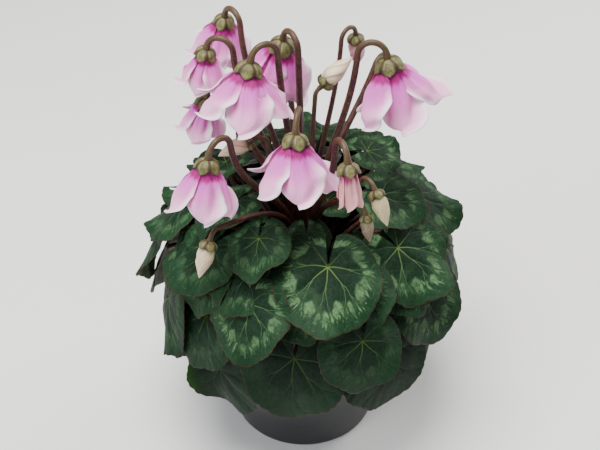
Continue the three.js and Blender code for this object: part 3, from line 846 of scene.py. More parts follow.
# %% Stalk finishes
def stalk_finish(name, low, high, top):
    look = Finish(name, 0.42, Specular_IOR_Level=0.35)
    place = look.place()
    streak = look.noise(place, 480, 3, 0.6)
    mottled = look.mix(look.ramp(streak, 0.35, 0.7), low, high)
    along = look.value("along") + (look.noise(place, 90, 2) * 0.16 - 0.08)
    colour = look.mix(look.ramp(along, 0.78, 1.0), mottled, top)
    colour = look.mix(look.ramp(look.noise(place, 1500, 1), 0.66, 0.74), colour, (0.17, 0.10, 0.06))
    return look.done(colour, streak * 0.2 + 0.36, streak, 0.00015)


FLOWER_STALK_LOOK = stalk_finish("flower_stalk", (0.036, 0.011, 0.009), (0.080, 0.026, 0.018),
                                 (0.075, 0.046, 0.019))
LEAF_STALK_LOOK = stalk_finish("leaf_stalk", (0.045, 0.015, 0.013), (0.085, 0.038, 0.026),
                               (0.075, 0.066, 0.028))
print("stalk finishes ready")

# %% [markdown]
# ## Small tools: Geometry Nodes
# What repeats on the plant or follows a path is made with Geometry Nodes. Every tree has named inputs, which
# are set by their identifiers, and ends in the same way: real geometry, then its material. Its result is
# turned into a plain mesh, and the helper object goes with the modifier, so that a finished piece is left.

# %% Tree helper
class Tree:
    """A Geometry Nodes tree. Besides its own inputs it has Geometry and Skin, the material it sets."""

    def __init__(self, name, sockets):
        self.group = bpy.data.node_groups.new(name, "GeometryNodeTree")
        self.known = {}
        for way in ("INPUT", "OUTPUT"):
            self.group.interface.new_socket("Geometry", in_out=way, socket_type="NodeSocketGeometry")
        for label, kind in {**sockets, "Skin": "Material"}.items():
            made = self.group.interface.new_socket(label, in_out="INPUT", socket_type="NodeSocket" + kind)
            self.known[label] = made.identifier
        self.given = self.group.nodes.new("NodeGroupInput").outputs

    def node(self, kind, inputs=(), output=0, **settings):
        """Adds a node and returns one of its outputs."""
        return add_node(self.group, kind, inputs, **settings).outputs[output]

    def close(self, geometry):
        real = self.node("GeometryNodeRealizeInstances", {"Geometry": geometry})
        painted = self.node("GeometryNodeSetMaterial", {"Geometry": real, "Material": self.given["Skin"]})
        self.group.links.new(painted, self.group.nodes.new("NodeGroupOutput").inputs[0])
        return self

    def run(self, helper, name, values):
        """Runs the tree on a helper object and returns a plain mesh object. The helper is removed."""
        modifier = helper.modifiers.new("tree", "NODES")
        modifier.node_group = self.group
        for label, value in values.items():
            modifier[self.known[label]] = value
        graph = bpy.context.evaluated_depsgraph_get()
        mesh = bpy.data.meshes.new_from_object(helper.evaluated_get(graph))
        mesh.name = name
        bpy.data.objects.remove(helper)
        piece = bpy.data.objects.new(name, mesh)
        scene.collection.objects.link(piece)
        return piece


print("tree helper ready")

# %% [markdown]
# ## Stalks
# A stalk follows a path, so a small circle is swept along each spline, thinner or thicker by the spline's own
# radius, and the share of the way along is stored for the finish. One tree serves both kinds. A stalk is
# thicker at the root, thinner above, and widens again into what it carries.

# %% Swept stalks
def sweep_tree():
    tree = Tree("swept_stalk", {"Sides": "Int"})
    circle = tree.node("GeometryNodeCurvePrimitiveCircle", {"Resolution": tree.given["Sides"], "Radius": MM})
    store = {"Geometry": tree.given["Geometry"], "Name": "along",
             "Value": tree.node("GeometryNodeSplineParameter", output="Factor")}
    path = tree.node("GeometryNodeStoreNamedAttribute", store, data_type="FLOAT", domain="POINT")
    sweep = {"Curve": path, "Profile Curve": circle, "Scale": tree.node("GeometryNodeInputRadius"),
             "Fill Caps": True}
    tube = tree.node("GeometryNodeCurveToMesh", sweep)
    return tree.close(tree.node("GeometryNodeSetShadeSmooth", {"Geometry": tube}))


SWEEP = sweep_tree()


def swept(name, paths, radii, sides, skin):
    """One mesh from many paths in millimetres, with a radius at each point."""
    curve = bpy.data.curves.new(name + "_paths", "CURVE")
    curve.dimensions = "3D"
    for path, radius in zip(paths, radii):
        spline = curve.splines.new("POLY")
        spline.points.add(len(path) - 1)
        spline.points.foreach_set("co", np.hstack([path * MM, np.ones((len(path), 1))]).ravel())
        spline.points.foreach_set("radius", np.broadcast_to(radius, len(path)))
    helper = bpy.data.objects.new(name + "_helper", curve)
    scene.collection.objects.link(helper)
    return SWEEP.run(helper, name, {"Sides": sides, "Skin": skin})


def stalk_radius(points, radius, foot=1.35, head=0.9, flare=1.25):
    t = np.linspace(0, 1, points)
    return radius * (head + (foot - head) * (1 - t) ** 2 + (flare - head) * share(t, 0.93, 1) ** 2)


flower_paths = [flower["path"] for flower in flowers + buds]
flower_radii = [stalk_radius(len(flower["path"]), flower["radius"]) for flower in flowers + buds]
flower_stalks = swept("flower_stalks", flower_paths, flower_radii, 12, FLOWER_STALK_LOOK)
leaf_paths = [leaf_stalk_path(leaf) for leaf in leaves + young]
leaf_radii = [LEAF_STALK * (1 if leaf["half"] > 13 else 0.75) for leaf in leaves + young]
leaf_radii = [stalk_radius(LEAF_STALK_POINTS, radius, head=0.85) for radius in leaf_radii]
leaf_stalks = swept("leaf_stalks", leaf_paths, leaf_radii, 9, LEAF_STALK_LOOK)
for piece in (flower_stalks, leaf_stalks):
    hand_in(piece, "stalk", "tuber_and_stalks")
print("stalk triangles:", triangles(flower_stalks), triangles(leaf_stalks))

# %% [markdown]
# ## The calyx
# Where the stalk meets the flower sits a small cap of five pointed sepals, olive green with dark brown seams
# between them. One sepal is a curved sheet, and Geometry Nodes set five of them round the axis on a small
# core. The finished cap is then copied to each flower and bud at its size.

# %% Sepal finish and sepal
# lengths in millimetres, the shoulder as a share of the sepal's length, and half its width in degrees
SEPAL = {"foot": 1.1, "reach": 4.1, "level": 0.9, "arch": 3.1, "hang": 1.9, "shoulder": 0.64, "half": 39,
         "bulge": 0.10, "thick": 0.5}


def sepal_finish():
    look = Finish("sepal", 0.5, Specular_IOR_Level=0.3)
    across, along = look.uv("sepal")
    aside = abs(across * 2.0 + -1.0)
    mottle = look.noise(look.place(), 420, 3, 0.6)
    olive = look.mix(look.ramp(mottle, 0.3, 0.7), (0.080, 0.080, 0.024), (0.235, 0.240, 0.085))
    colour = look.mix(look.ramp(mottle * 0.22 + aside, 0.58, 0.94), olive, (0.026, 0.012, 0.008))
    streaks = look.noise(look.pair(across * 11.0, along), 2.4, 3)
    colour = look.mix(look.ramp(streaks, 0.44, 0.6) * 0.75, colour, (0.07, 0.045, 0.022))
    colour = look.mix(look.ramp(along, 0.25, 0.0), colour, (0.11, 0.105, 0.04))
    return look.done(colour, mottle * 0.2 + 0.5, mottle, 0.0002)


def sepal(flare):
    """One sepal, from the stalk down to its point, on the +X side. The point is pushed out by flare."""
    t = np.linspace(0, 1, 16)[:, None]
    u = np.linspace(-1, 1, 13)
    bend = np.minimum(1, t / SEPAL["shoulder"]) * pi / 2
    low = share(t, SEPAL["shoulder"], 1)
    radius = SEPAL["foot"] + SEPAL["reach"] * np.sin(bend) + flare * low
    height = SEPAL["level"] + SEPAL["arch"] * np.cos(bend) - SEPAL["hang"] * low
    angle = u * (radians(SEPAL["half"]) * (1 - share(t, 0.66, 1.0) ** 1.2) + 0.012)
    bulge = SEPAL["bulge"] * (1 - u * u) * np.sin(np.minimum(1, 1.6 * t) * pi / 2)
    grid = np.stack([(radius + bulge) * np.cos(angle), (radius + bulge) * np.sin(angle), height + 0 * u], -1)
    points, faces, _ = sheet(grid, SEPAL["thick"])
    piece = mesh_object("one_sepal", points, faces)
    pairs = np.stack(np.broadcast_arrays((u + 1) / 2, 1 - t), -1).reshape(-1, 2)
    set_uv(piece, "sepal", np.vstack([pairs, pairs]))
    return piece


SEPAL_LOOK = sepal_finish()
print("sepal finish ready")

# %% [markdown]
# The tree below takes the core as its geometry and adds the ring of sepals. The count, the part that repeats
# and the finish are its inputs.

# %% Calyx tree
CALYX_CORE = [(0, -0.2), (3.6, -0.1), (4.5, 0.5), (4.4, 1.4), (3.5, 2.7), (1.8, 3.5), (0, 3.7)]
OPEN_FLARE, BUD_FLARE = 0.8, -0.25


def ring_tree():
    tree = Tree("ring_of_parts", {"Count": "Int", "Part": "Object"})
    count = tree.given["Count"]
    points = tree.node("GeometryNodePoints", {"Count": count})
    part = tree.node("GeometryNodeObjectInfo", {"Object": tree.given["Part"]}, "Geometry")
    step = tree.node("ShaderNodeMath", {0: 2 * pi, 1: count}, operation="DIVIDE")
    index = tree.node("GeometryNodeInputIndex")
    angle = tree.node("ShaderNodeMath", {0: index, 1: step}, operation="MULTIPLY")
    turn = tree.node("ShaderNodeCombineXYZ", {2: angle})
    copies = tree.node("GeometryNodeInstanceOnPoints", {"Points": points, "Instance": part, "Rotation": turn})
    join = add_node(tree.group, "GeometryNodeJoinGeometry", {0: copies})
    tree.group.links.new(tree.given["Geometry"], join.inputs[0])
    return tree.close(join.outputs[0])


RING = ring_tree()


def calyx(flare):
    points, faces = turned(CALYX_CORE, 20)
    core = mesh_object("calyx_core", points, faces)
    set_uv(core, "sepal", np.tile([1.0, 0.7], (len(points), 1)))
    part = sepal(flare)
    cap = RING.run(core, "one_calyx", {"Count": 5, "Part": part, "Skin": SEPAL_LOOK})
    bpy.data.objects.remove(part)
    return cap


open_calyx, bud_calyx = calyx(OPEN_FLARE), calyx(BUD_FLARE)
print("calyx triangles:", triangles(open_calyx))

# %% [markdown]
# Copies of one finished shape, each with its own turn, place and size, are joined into a single mesh by
# number work, as they share one finish. The UV map is repeated with them.

# %% Copies joined into one piece
def joined_copies(name, master, placings, uv_name):
    """placings: (3x3 directions, place, size) for each copy of the master."""
    points = np.empty(len(master.data.vertices) * 3)
    master.data.vertices.foreach_get("co", points)
    points = points.reshape(-1, 3) / MM
    faces = [list(face.vertices) for face in master.data.polygons]
    pairs = np.empty(len(master.data.loops) * 2)
    master.data.uv_layers[uv_name].data.foreach_get("uv", pairs)
    everything = np.vstack([(points * size) @ turn.T + place for turn, place, size in placings])
    copies = [[p + i * len(points) for p in face] for i in range(len(placings)) for face in faces]
    piece = mesh_object(name, everything, copies, list(master.data.materials))
    slots = [face.material_index for face in master.data.polygons]
    piece.data.polygons.foreach_set("material_index", slots * len(placings))
    piece.data.uv_layers.new(name=uv_name).data.foreach_set("uv", np.tile(pairs, len(placings)))
    return piece


FIFTH = 72  # degrees
calyx_groups = [("calyxes", open_calyx, flowers, 0), ("bud_calyxes", bud_calyx, buds, len(flowers))]
for name, cap, group, first in calyx_groups:
    turns = [flower["turn"] @ rotation("z", FIFTH * draw(first + i, 12)) for i, flower in enumerate(group)]
    placings = [(turn, flower["at"], flower["calyx"]) for turn, flower in zip(turns, group)]
    calyxes = joined_copies(name, cap, placings, "sepal")
    bpy.data.objects.remove(cap)
    hand_in(calyxes, "stalk", "tuber_and_stalks")
    print(name, len(placings), "triangles:", triangles(calyxes))

# %% [markdown]
# ## Petal finish
# The petals are pale pink and silky, close to white at the edges. Right under the calyx they are deep
# magenta, and that colour runs out in streaks along the middle of each petal, through orchid, over the first
# two thirds. The UV map "petal" gives the way: x across the petal, and y from the collar to the tip. The
# inner face is a little pinker, and a flower that is still opening is salmon.

# %% Petal finishes
FADE = 0.82  # about how far down the petal the pink runs, as a share of its length


def petal_finish(name, pale, blush, orchid):
    look = Finish(name, 0.55, Subsurface_Weight=0.18, Subsurface_Scale=0.004, Sheen_Weight=0.06,
                  Specular_IOR_Level=0.3, Subsurface_Radius=(1.0, 0.45, 0.6))
    across, along = look.uv("petal")
    aside = abs(across * 2.0 + -1.0)
    fibre = look.noise(look.pair(across * 26.0, along * 1.6), 1.0, 4, 0.7, 0.15)
    cloud = look.noise(look.place(), 110, 2)
    fade = aside * aside * 0.22 + along + (fibre * 0.34 - 0.17) + (cloud * 0.14 - 0.07)
    colour = look.mix(look.ramp(fade, 0.45 * FADE, 1.25 * FADE), blush, pale)
    colour = look.mix(look.ramp(fade, 0.86 * FADE, 0.20), colour, orchid)
    colour = look.mix(look.ramp(fade, 0.27, 0.12), colour, (0.46, 0.016, 0.33))
    colour = look.mix(look.ramp(fibre * 0.16 + along, 0.30, 0.21), colour, (0.28, 0.0005, 0.130))
    # faint veins, the pale edge, and the salmon of a young flower
    vein = look.ramp(fibre, 0.5, 0.72) * (look.ramp(along, 0.22, 0.5) * look.ramp(along, 1.0, 0.3, 0.15, 0.5))
    colour = look.mix(vein, colour, tuple(0.86 * part for part in blush))
    edge = look.ramp(aside, 0.66, 1.0) * look.ramp(along, 0.2, 0.5)
    colour = look.mix(edge, colour, (0.95, 0.74, 0.86))
    salmon = look.mix(look.ramp(fade, 0.15, 0.4), (0.36, 0.010, 0.13), (0.70, 0.30, 0.32))
    colour = look.mix(look.value("young"), colour, salmon)
    return look.done(colour, fibre * 0.15 + 0.45, fibre, 0.00035)


def grainy(name, roughness, scale, dark, light, **fixed):
    look = Finish(name, roughness, **fixed)
    grain = look.noise(look.place(), scale, 3)
    return look.done(look.mix(grain, dark, light), None, grain, 0.0002)


OUTER, INNER_FACE, THROAT, ANTHER = range(4)  # material numbers of a flower
FLOWER_FINISHES = [
    petal_finish("petal_outer", (0.90, 0.42, 0.67), (0.84, 0.22, 0.57), (0.66, 0.100, 0.51)),
    petal_finish("petal_inner", (0.84, 0.34, 0.58), (0.75, 0.19, 0.49), (0.56, 0.06, 0.40)),
    grainy("throat", 0.5, 700, (0.30, 0.006, 0.15), (0.45, 0.014, 0.24), Subsurface_Weight=0.1,
           Subsurface_Scale=0.003),
    grainy("anther", 0.7, 1800, (0.62, 0.42, 0.10), (0.78, 0.60, 0.25)),
]
print("flower finishes:", len(FLOWER_FINISHES))

# %% [markdown]
# ## Petals
# Each petal hangs from the collar, swells to a broad oval and ends in a rounded tip. One side lies over its
# neighbour and the other under. On top of that shape, which the CAD model has too, every petal gets its own
# soft folds, a ruffled edge and a tip that curls out a little, so that no two are alike.

# %% Petal shape
COLLAR_RADIUS = 4.1
# millimetres, but lift is in degrees and scallop a share of the width
PETAL = {"length": 19.2, "flare": 11.8, "half": 9.6, "foot": 1.7, "thick": 0.35, "bell": 0.3, "lift": 10,
         "scallop": 0.10, "fold": 1.0, "side_fold": 0.55, "ruffle": 2.1, "fine": 0.6, "rim": 2.0, "curl": 12}


def petal_grid(flower, item, index, rows=36, columns=27):
    """Points of a petal's outer face on the +X side. t runs from the collar to the tip, u across."""
    key = 100 + 10 * item + index
    t = np.concatenate([np.linspace(0, 0.86, rows - 9), np.linspace(0.86, 1.0, 10)[1:]])[:, None]
    u = np.linspace(-1, 1, columns)
    wide = flower["open"]
    # the bell that the five petals make: how far out and down each point is
    reach = PETAL["flare"] * (0.16 + 0.84 * wide) * (1 + drift(key, 1, 0.12) * wide)
    bell = PETAL["bell"] * wide * np.sin(2 * pi * t**0.9) * (1 + drift(key, 8, 0.4))
    out = (reach - 1.0) * np.sin(t * pi / 2) ** (1.35 - 0.15 * wide) + bell
    length = PETAL["length"] * (0.96 + 0.04 * wide) + 1.4
    drop = -length * t * (1.08 - 0.12 * wide * t) * (1 + drift(key, 2, 0.05))
    # each petal of an open flower is lifted by its own amount, less on the flowers that hang furthest out
    far = share(np.hypot(*flower["at"][:2]), 45, 58)
    lift = radians(drift(key, 10, PETAL["lift"]) * wide * (1 - 0.75 * far))
    spread = COLLAR_RADIUS + 0.1 + out * cos(lift) - drop * sin(lift)
    drop = 0.2 + drop * cos(lift) + out * sin(lift)
    # its width, from a narrow foot to a rounded tip
    swell = np.sin(np.minimum(1, t / 0.44) * pi / 2) ** 0.8
    taper = (1 - share(t, 0.6, 1.0) ** (2.6 + drift(key, 11, 0.6))) ** (1 - 0.36 * wide)
    scallop = 1 + PETAL["scallop"] * wide * t * np.sin(13 * t + 6 * draw(key, 12))
    broad = PETAL["half"] * (0.6 + 0.43 * wide) - PETAL["foot"]
    width = 0.1 + (PETAL["foot"] + broad * swell) * taper * scallop
    # folds along the petal, a ruffle that grows towards the edge, a rolled rim and the curl of the tip
    rise = np.sin(pi * np.minimum(1, t * 1.1)) * (0.35 + 0.65 * wide)
    middle_fold = PETAL["fold"] * np.cos(pi * u * 1.2 + drift(key, 3, 0.8))
    folds = rise * (middle_fold - PETAL["side_fold"] * np.cos(3.1 * pi * u + 6 * draw(key, 9)))
    ruffle = PETAL["ruffle"] * np.sin((2.6 + drift(key, 4, 1.0)) * u + 10 * t + 2 * pi * draw(key, 5))
    ruffle = ruffle * t * (0.1 + 0.9 * np.abs(u) ** 1.6)
    fine = PETAL["fine"] * np.sin(21 * t + 4 * u + 3 * sin(key)) * t**1.3 * np.abs(u) ** 2
    rim = PETAL["rim"] * np.abs(u) ** 4 * np.sqrt(t)
    curl = (0.5 + drift(key, 6, 1.4)) * PETAL["curl"] * np.maximum(0, t - 0.7) ** 2
    # the side with negative u lies under the next petal, so it is calmer and sits lower
    upper = ease(u, -0.5, 0.4)
    side = u * (0.35 + np.minimum(1, t * 2.2) * (1.5 - 0.7 * upper))
    edge = (0.3 + 0.7 * upper) * (ruffle + fine) + rim * upper + curl
    radius = spread + side + folds + (0.15 + 0.85 * wide) * (1 - 0.4 * far) * edge
    compass = u * np.minimum(0.92, width / np.maximum(spread, 3)) + drift(key, 7, 0.14) * t
    compass = compass + drift(key, 13, 0.2) * wide * share(t, 0.6, 1.0) ** 1.5
    sag = 0.45 * ruffle + 1.1 * u * u * t * np.sin(pi * t)
    drop = drop + sag * (0.2 + 0.8 * wide)
    return np.stack([radius * np.cos(compass), radius * np.sin(compass), drop], -1), t, u


print("points of a petal's outer face:", petal_grid(flowers[0], 0, 0)[0].shape[:2])

# %% [markdown]
# ## Flowers
# A flower is one piece, as the petals of a cyclamen grow together into a tube: five petals, the five-lobed
# collar that joins them, and inside it the cone of anthers with the style. The inner parts show from below.

# %% Flowers
COLLAR_WALL = [(0, -2.2), (3.1, -2.3), (3.4, -3.0), (3.8, -2.9), (4.05, -2.2), (4.1, -1.2), (3.6, -0.4),
               (0, -0.2)]
ANTHER_CONE = [(0, -8.2), (0.5, -8.0), (1.3, -6.4), (2.1, -4.0), (2.2, -2.6), (0, -2.4)]
STYLE = [(0, -10.4), (0.32, -10.3), (0.26, -9.6), (0.3, -7.4), (0, -7.2)]


def ribbed(depth, start=0.0):
    """A shape for a turned body: five shallow ribs round the axis, the first at the angle start."""
    def shape(rings, angle):
        swell = 1 + depth * np.cos(5 * (angle - start))
        return rings * np.stack([swell, swell, np.ones_like(swell)], -1)
    return shape


def turned_part(profile, sides, slot, along, shape=None):
    points, faces = turned(profile, sides, shape)
    return points, faces, np.tile([0.5, along], (len(points), 1)), [slot] * len(faces)


def petal_part(flower, item, index):
    grid, t, u = petal_grid(flower, item, index)
    points, faces, counts = sheet(grid, PETAL["thick"] * (1 - 0.6 * share(t, 0.9, 1)))
    turn = rotation("z", FIFTH * index + flower["spin"])
    pairs = np.stack(np.broadcast_arrays((u + 1) / 2, t), -1).reshape(-1, 2)
    return points @ turn.T, faces, np.vstack([pairs, pairs]), np.repeat([OUTER, INNER_FACE, OUTER], counts)


def flower_piece(name, flower, item):
    parts = [petal_part(flower, item, index) for index in range(5)]
    parts.append(turned_part(COLLAR_WALL, 40, THROAT, 0.0, ribbed(0.035, radians(flower["spin"]))))
    parts.append(turned_part(ANTHER_CONE, 30, ANTHER, 0.5, ribbed(0.14)))
    parts.append(turned_part(STYLE, 10, THROAT, 0.5))
    starts = np.cumsum([0] + [len(part[0]) for part in parts])
    faces = [[p + start for p in face] for start, part in zip(starts.tolist(), parts) for face in part[1]]
    points = np.vstack([part[0] for part in parts])
    points = (points * flower["size"]) @ flower["turn"].T + flower["at"]
    piece = mesh_object(name, points, faces, FLOWER_FINISHES)
    piece.data.polygons.foreach_set("material_index", np.concatenate([part[3] for part in parts]))
    set_uv(piece, "petal", np.vstack([part[2] for part in parts]))
    set_values(piece, "young", np.full(len(points), float(share(flower["open"], 0.6, 0.1))))
    return piece


total = 0
for item, flower in enumerate(flowers):
    piece = flower_piece(f"flower_{item + 1:02d}", flower, item)
    hand_in(piece, "bloom", f"bloom_{item + 1:02d}")
    total += triangles(piece)
print("flowers:", len(flowers), "triangles:", total)

# %% [markdown]
# ## Buds
# A closed bud is a spindle of five petals wound round each other. The winding is a sawtooth that runs round
# and down the profile, so that one petal's edge always lies over the next. A darker line follows each edge.
# The buds differ in tint, from cream to pink, and the lowest has gone brown, so the tint is an attribute.

# %% Bud finish and buds
BUD_PROFILE = [(0, -18.6), (0.5, -18.0), (1.25, -16.6), (2.25, -14.6), (3.2, -12.5), (4.0, -10.3),
               (4.6, -8.0), (4.9, -5.8), (4.95, -4.0), (4.75, -2.3), (4.3, -0.9), (3.7, -0.1), (3.0, 0.3),
               (0, 0.5)]
BUD_SIDES = 60
# turns that the petals wind from top to tip, height of an overlap as a share, and sideways bow
BUD = {"winding": 0.42, "overlap": 0.16, "bow": 0.5}


def bud_finish():
    look = Finish("bud", 0.5, Subsurface_Weight=0.12, Subsurface_Scale=0.003)
    tint = look.signal("Attribute", output="Color", attribute_name="tint")
    across, along = look.uv("bud")
    fibre = look.noise(look.pair(across * 40.0, along * 2.0), 1.0, 3, 0.6)
    colour = look.mix(look.ramp(fibre, 0.4, 0.7) * 0.35, tint, (0.62, 0.42, 0.34))
    colour = look.mix(look.ramp(along, 0.72, 1.0) * 0.6, colour, (0.24, 0.25, 0.10))
    seam = look.math("FRACT", across * 5.0)
    colour = look.mix(look.ramp(seam, 0.2, 0.0) * 0.55, colour, (0.20, 0.10, 0.06))
    return look.done(colour, fibre * 0.2 + 0.4, fibre, 0.00025)


BUD_LOOK = bud_finish()


def bud_piece(name, bud, item):
    profile = [BUD_PROFILE[0]]
    for a, b in zip(BUD_PROFILE[1:-2], BUD_PROFILE[2:-1]):
        profile += [a, ((a[0] + b[0]) / 2, (a[1] + b[1]) / 2)]
    profile += BUD_PROFILE[-2:]
    across = []

    def wound(rings, angle):
        low = share(rings[..., 2], 0.3, -18.6)
        around = 5 * (angle[None, :] / (2 * pi) + BUD["winding"] * low + draw(item, 21))
        across.extend((around / 5).ravel())
        edge = around - np.floor(around)
        step = ease(edge, 0, 0.16) * (1 - edge)
        grow = 0.92 + BUD["overlap"] * step * np.sin(pi * np.clip(low, 0.06, 0.97)) ** 0.5
        bow = BUD["bow"] * np.sin(pi * low)
        rings[..., 0] = rings[..., 0] * grow + bow * cos(item)
        rings[..., 1] = rings[..., 1] * grow + bow * sin(item)
        return rings

    points, faces = turned(profile, BUD_SIDES, wound)
    piece = mesh_object(name, (points * bud["size"]) @ bud["turn"].T + bud["at"], faces, [BUD_LOOK])
    set_uv(piece, "bud", np.stack([across + [0.5, 0.5], share(points[:, 2], -19, 0)], 1))
    tint = piece.data.attributes.new("tint", "FLOAT_COLOR", "POINT")
    tint.data.foreach_set("color", np.tile((*bud["tint"], 1.0), len(points)))
    return piece


for item, bud in enumerate(buds):
    piece = bud_piece(f"closed_bud_{item + 1:02d}", bud, item)
    hand_in(piece, "bud", f"bud_{item + 1:02d}")
print("buds:", len(buds), "triangles each:", triangles(piece))

# %% [markdown]
# ## The tuber
# The tuber is a flattened, corky ball that sits half out of the soil. It is a turned profile whose surface is
# roughened by a sum of waves, with a low crown on top where all the stalks meet.

# %% Tuber
TUBER_RADIUS, CROWN_RADIUS, CROWN_RISE = 15, 9.9, 4.2


def bark_finish():
    look = Finish("tuber_bark", 0.9)
    place = look.place()
    rough = look.noise(place, 260, 5, 0.7, 0.5)
    cracks = look.net(place, 160)
    colour = look.mix(look.ramp(rough, 0.3, 0.7), (0.045, 0.026, 0.016), (0.13, 0.085, 0.055))
    colour = look.mix(look.ramp(cracks, 0.12, 0.0), colour, (0.02, 0.012, 0.008))
    return look.done(colour, None, rough + look.ramp(cracks, 0.0, 0.15), 0.0006)


def corky(rings, angle):
    x, y, z = rings[..., 0], rings[..., 1], rings[..., 2]
    bumps = 0.5 * np.sin(0.9 * x + 2) * np.cos(0.8 * y) + 0.3 * np.sin(1.9 * x + 1.3 * y + z)
    far = np.hypot(x, y)
    grow = 1 + bumps * share(far, 0, 8) / np.maximum(far, 6)
    return np.stack([x * grow, y * grow, z], -1)


ball = [(TUBER_RADIUS * sin(a), SOIL_TOP - TUBER_RISE * cos(a)) for a in np.linspace(0, 2.45, 26)]
crown_foot = SOIL_TOP + TUBER_RISE - 1.6
crown = [(CROWN_RADIUS * cos(a), crown_foot + CROWN_RISE * sin(a)) for a in np.linspace(0.15, pi / 2, 8)]
tuber_profile = [(0, ball[0][1])] + ball[1:] + crown[:-1] + [(0, crown[-1][1])]
tuber = mesh_object("tuber", *turned(tuber_profile, 72, corky), [bark_finish()])
hand_in(tuber, "stalk", "tuber_and_stalks")
print("tuber triangles:", triangles(tuber))

# %% [markdown]
# ## Soil
# The pot is full of dark peat mix. Its body is a turned profile with an uneven top, flat only where the tuber
# sits.

# %% Peat finish and soil body
def peat_finish():
    look = Finish("peat", 0.95)
    place = look.place()
    grain = look.noise(place, 900, 5, 0.7)
    colour = look.mix(look.noise(place, 180, 3), (0.014, 0.009, 0.006), (0.045, 0.028, 0.018))
    colour = look.mix(look.ramp(grain, 0.6, 0.75), colour, (0.11, 0.075, 0.045))
    return look.done(colour, None, grain, 0.0008)


def uneven(rings, angle):
    x, y, z = rings[..., 0], rings[..., 1], rings[..., 2]
    top = share(z, SOIL_TOP - 0.5, SOIL_TOP)
    bumps = np.sin(0.41 * x) * np.cos(0.37 * y) + 0.35 * np.sin(1.3 * x + 1) * np.sin(1.1 * y)
    return np.stack([x, y, z + top * bumps * share(np.hypot(x, y), 13, 20)], -1)


PEAT = peat_finish()
soil_side = np.linspace((35.4, 3), (47.6, 82.5), 6)
soil_face = np.linspace((46, SOIL_TOP), (3, SOIL_TOP), 30)
soil_profile = np.vstack([[(0, 2.2), (34.6, 2.3)], soil_side, [(47.1, SOIL_TOP)], soil_face, [(0, SOIL_TOP)]])
soil_points, soil_faces = turned(soil_profile, 96, uneven)
soil = mesh_object("soil_body", soil_points, soil_faces, [PEAT])
print("soil triangles:", triangles(soil))

# %% [markdown]
# Loose crumbs lie on the soil. Geometry Nodes scatter them over its top with a fixed seed: each is a small
# pebble with its own turn, squash and size, pressed partly into the surface.

# %% Crumb tree
CRUMBS = {"Per square metre": 160000.0, "Smallest": 0.3 * MM, "Largest": 1.15 * MM, "Above": 82.6 * MM,
          "Seed": 3, "Skin": PEAT}
TURN_RANGE = {0: (0.0, 0.0, 0.0), 1: (6.28, 6.28, 6.28), "Seed": 5}
SQUASH_RANGE = {0: (0.7, 0.5, 0.45), 1: (1.3, 1.0, 0.9), "Seed": 8}


def scatter_tree():
    floats = dict.fromkeys(("Per square metre", "Smallest", "Largest", "Above"), "Float")
    tree = Tree("scattered_crumbs", {**floats, "Seed": "Int"})
    given = tree.given
    height = tree.node("ShaderNodeSeparateXYZ", {0: tree.node("GeometryNodeInputPosition")}, 2)
    on_top = tree.node("FunctionNodeCompare", {0: height, 1: given["Above"]}, data_type="FLOAT",
                       operation="GREATER_THAN")
    points = tree.node("GeometryNodeDistributePointsOnFaces", {
        "Mesh": given["Geometry"], "Selection": on_top, "Density": given["Per square metre"],
        "Seed": given["Seed"]})
    sizes = {2: given["Smallest"], 3: given["Largest"], "Seed": given["Seed"]}
    size = tree.node("FunctionNodeRandomValue", sizes, 1, data_type="FLOAT")
    turn = tree.node("FunctionNodeRandomValue", TURN_RANGE, data_type="FLOAT_VECTOR")
    squash = tree.node("FunctionNodeRandomValue", SQUASH_RANGE, data_type="FLOAT_VECTOR")
    scale = tree.node("ShaderNodeVectorMath", {0: squash, "Scale": size}, operation="SCALE")
    pebble = tree.node("GeometryNodeMeshIcoSphere", {"Radius": 1.0, "Subdivisions": 2})
    return tree.close(tree.node("GeometryNodeInstanceOnPoints", {
        "Points": points, "Instance": pebble, "Rotation": turn, "Scale": scale}))


bed = mesh_object("crumb_bed", soil_points, soil_faces)
crumbs = scatter_tree().run(bed, "soil_crumbs", CRUMBS)
for piece in (soil, crumbs):
    hand_in(piece, "soil", "soil")
print("crumb triangles:", triangles(crumbs))

# %% [markdown]
# ## Pot finish
# The plastic is satin black, with faint moulding rings, a film of dust and a few dried splashes of soil.

# %% Pot finish
def pot_finish():
    look = Finish("pot_plastic", 0.4, Specular_IOR_Level=0.4)
    place = look.place()
    dust = look.noise(place, 45, 5, 0.65)
    speck = look.noise(place, 750, 2)
    height = look.signal("SeparateXYZ", {0: place}, 2)
    rings = look.noise(look.pair(0.0, 0.0, height), 900, 3)
    colour = look.mix(look.ramp(dust, 0.45, 0.8), (0.009, 0.0095, 0.011), (0.026, 0.025, 0.024))
    colour = look.mix(look.ramp(speck, 0.68, 0.76), colour, (0.06, 0.05, 0.04))
    return look.done(colour, dust * 0.3 + 0.26, rings * 0.8 + speck, 0.00006)


POT_LOOK = pot_finish()
print("pot finish ready")

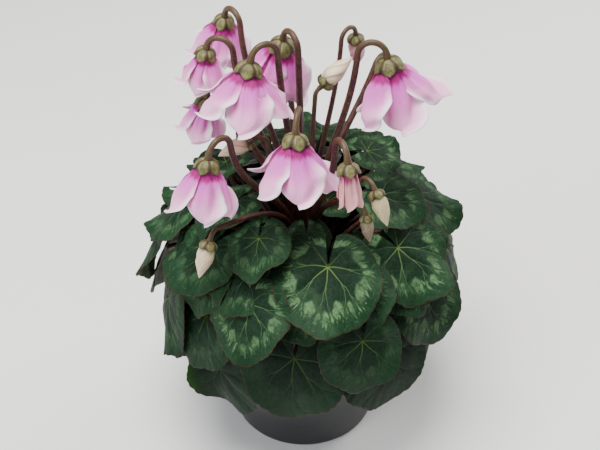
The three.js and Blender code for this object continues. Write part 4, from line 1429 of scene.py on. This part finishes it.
# %% [markdown]
# ## The pot
# A nursery pot is blown or pressed from thin black plastic: a tapered wall, a step under a deep rim whose
# edge is rolled, and holes in the floor. The profile is turned, from the middle of the floor's underside up
# the outside, over the rim and down the inside. Geometry Nodes cut the ring of drain holes with one Mesh
# Boolean.

# %% Pot body and drain holes
POT_FOOT = [(0, 0.9), (30, 0.8), (34.5, 0.0), (36.0, 0.0), (36.8, 0.4), (37.1, 1.3)]
POT_RIM = [(49.9, 84.6), (50.6, 85.4), (51.8, 85.9), (52.3, 86.6), (52.4, 88), (52.2, 91.5), (52.4, 93.4),
           (52.3, 94.4), (51.7, 94.95), (50.8, 95), (49.9, 94.6), (49.4, 93.6), (49.2, 90), (48.6, 86.2)]
POT_FLOOR = [(35, 2.0), (0, 2.1)]
WALL_POINTS = 8
PLUG = {"Vertices": 28, "Depth": 12 * MM}


def drain_tree():
    tree = Tree("drain_holes", {"Count": "Int", "Hole radius": "Float", "Ring radius": "Float"})
    given = tree.given
    ring = tree.node("GeometryNodeMeshCircle", {"Vertices": given["Count"], "Radius": given["Ring radius"]})
    plug = tree.node("GeometryNodeMeshCylinder", {**PLUG, "Radius": given["Hole radius"]})
    copies = tree.node("GeometryNodeInstanceOnPoints", {"Points": ring, "Instance": plug})
    plugs = tree.node("GeometryNodeRealizeInstances", {"Geometry": copies})
    meshes = {"Mesh 1": given["Geometry"], "Mesh 2": plugs}
    return tree.close(tree.node("GeometryNodeMeshBoolean", meshes, operation="DIFFERENCE"))


outer_wall = np.linspace((37.3, 2.5), (49.6, 83.5), WALL_POINTS)
inner_wall = np.linspace((48.5, 85), (36.1, 3), WALL_POINTS)
pot_profile = np.vstack([POT_FOOT, outer_wall, POT_RIM, inner_wall, POT_FLOOR])
pot_body = mesh_object("pot_body", *turned(pot_profile, 128))
drains = {"Count": 8, "Hole radius": 3.5 * MM, "Ring radius": 26 * MM, "Skin": POT_LOOK}
pot = drain_tree().run(pot_body, "nursery_pot", drains)
hand_in(pot, "pot", "pot")
print("pot triangles:", triangles(pot))
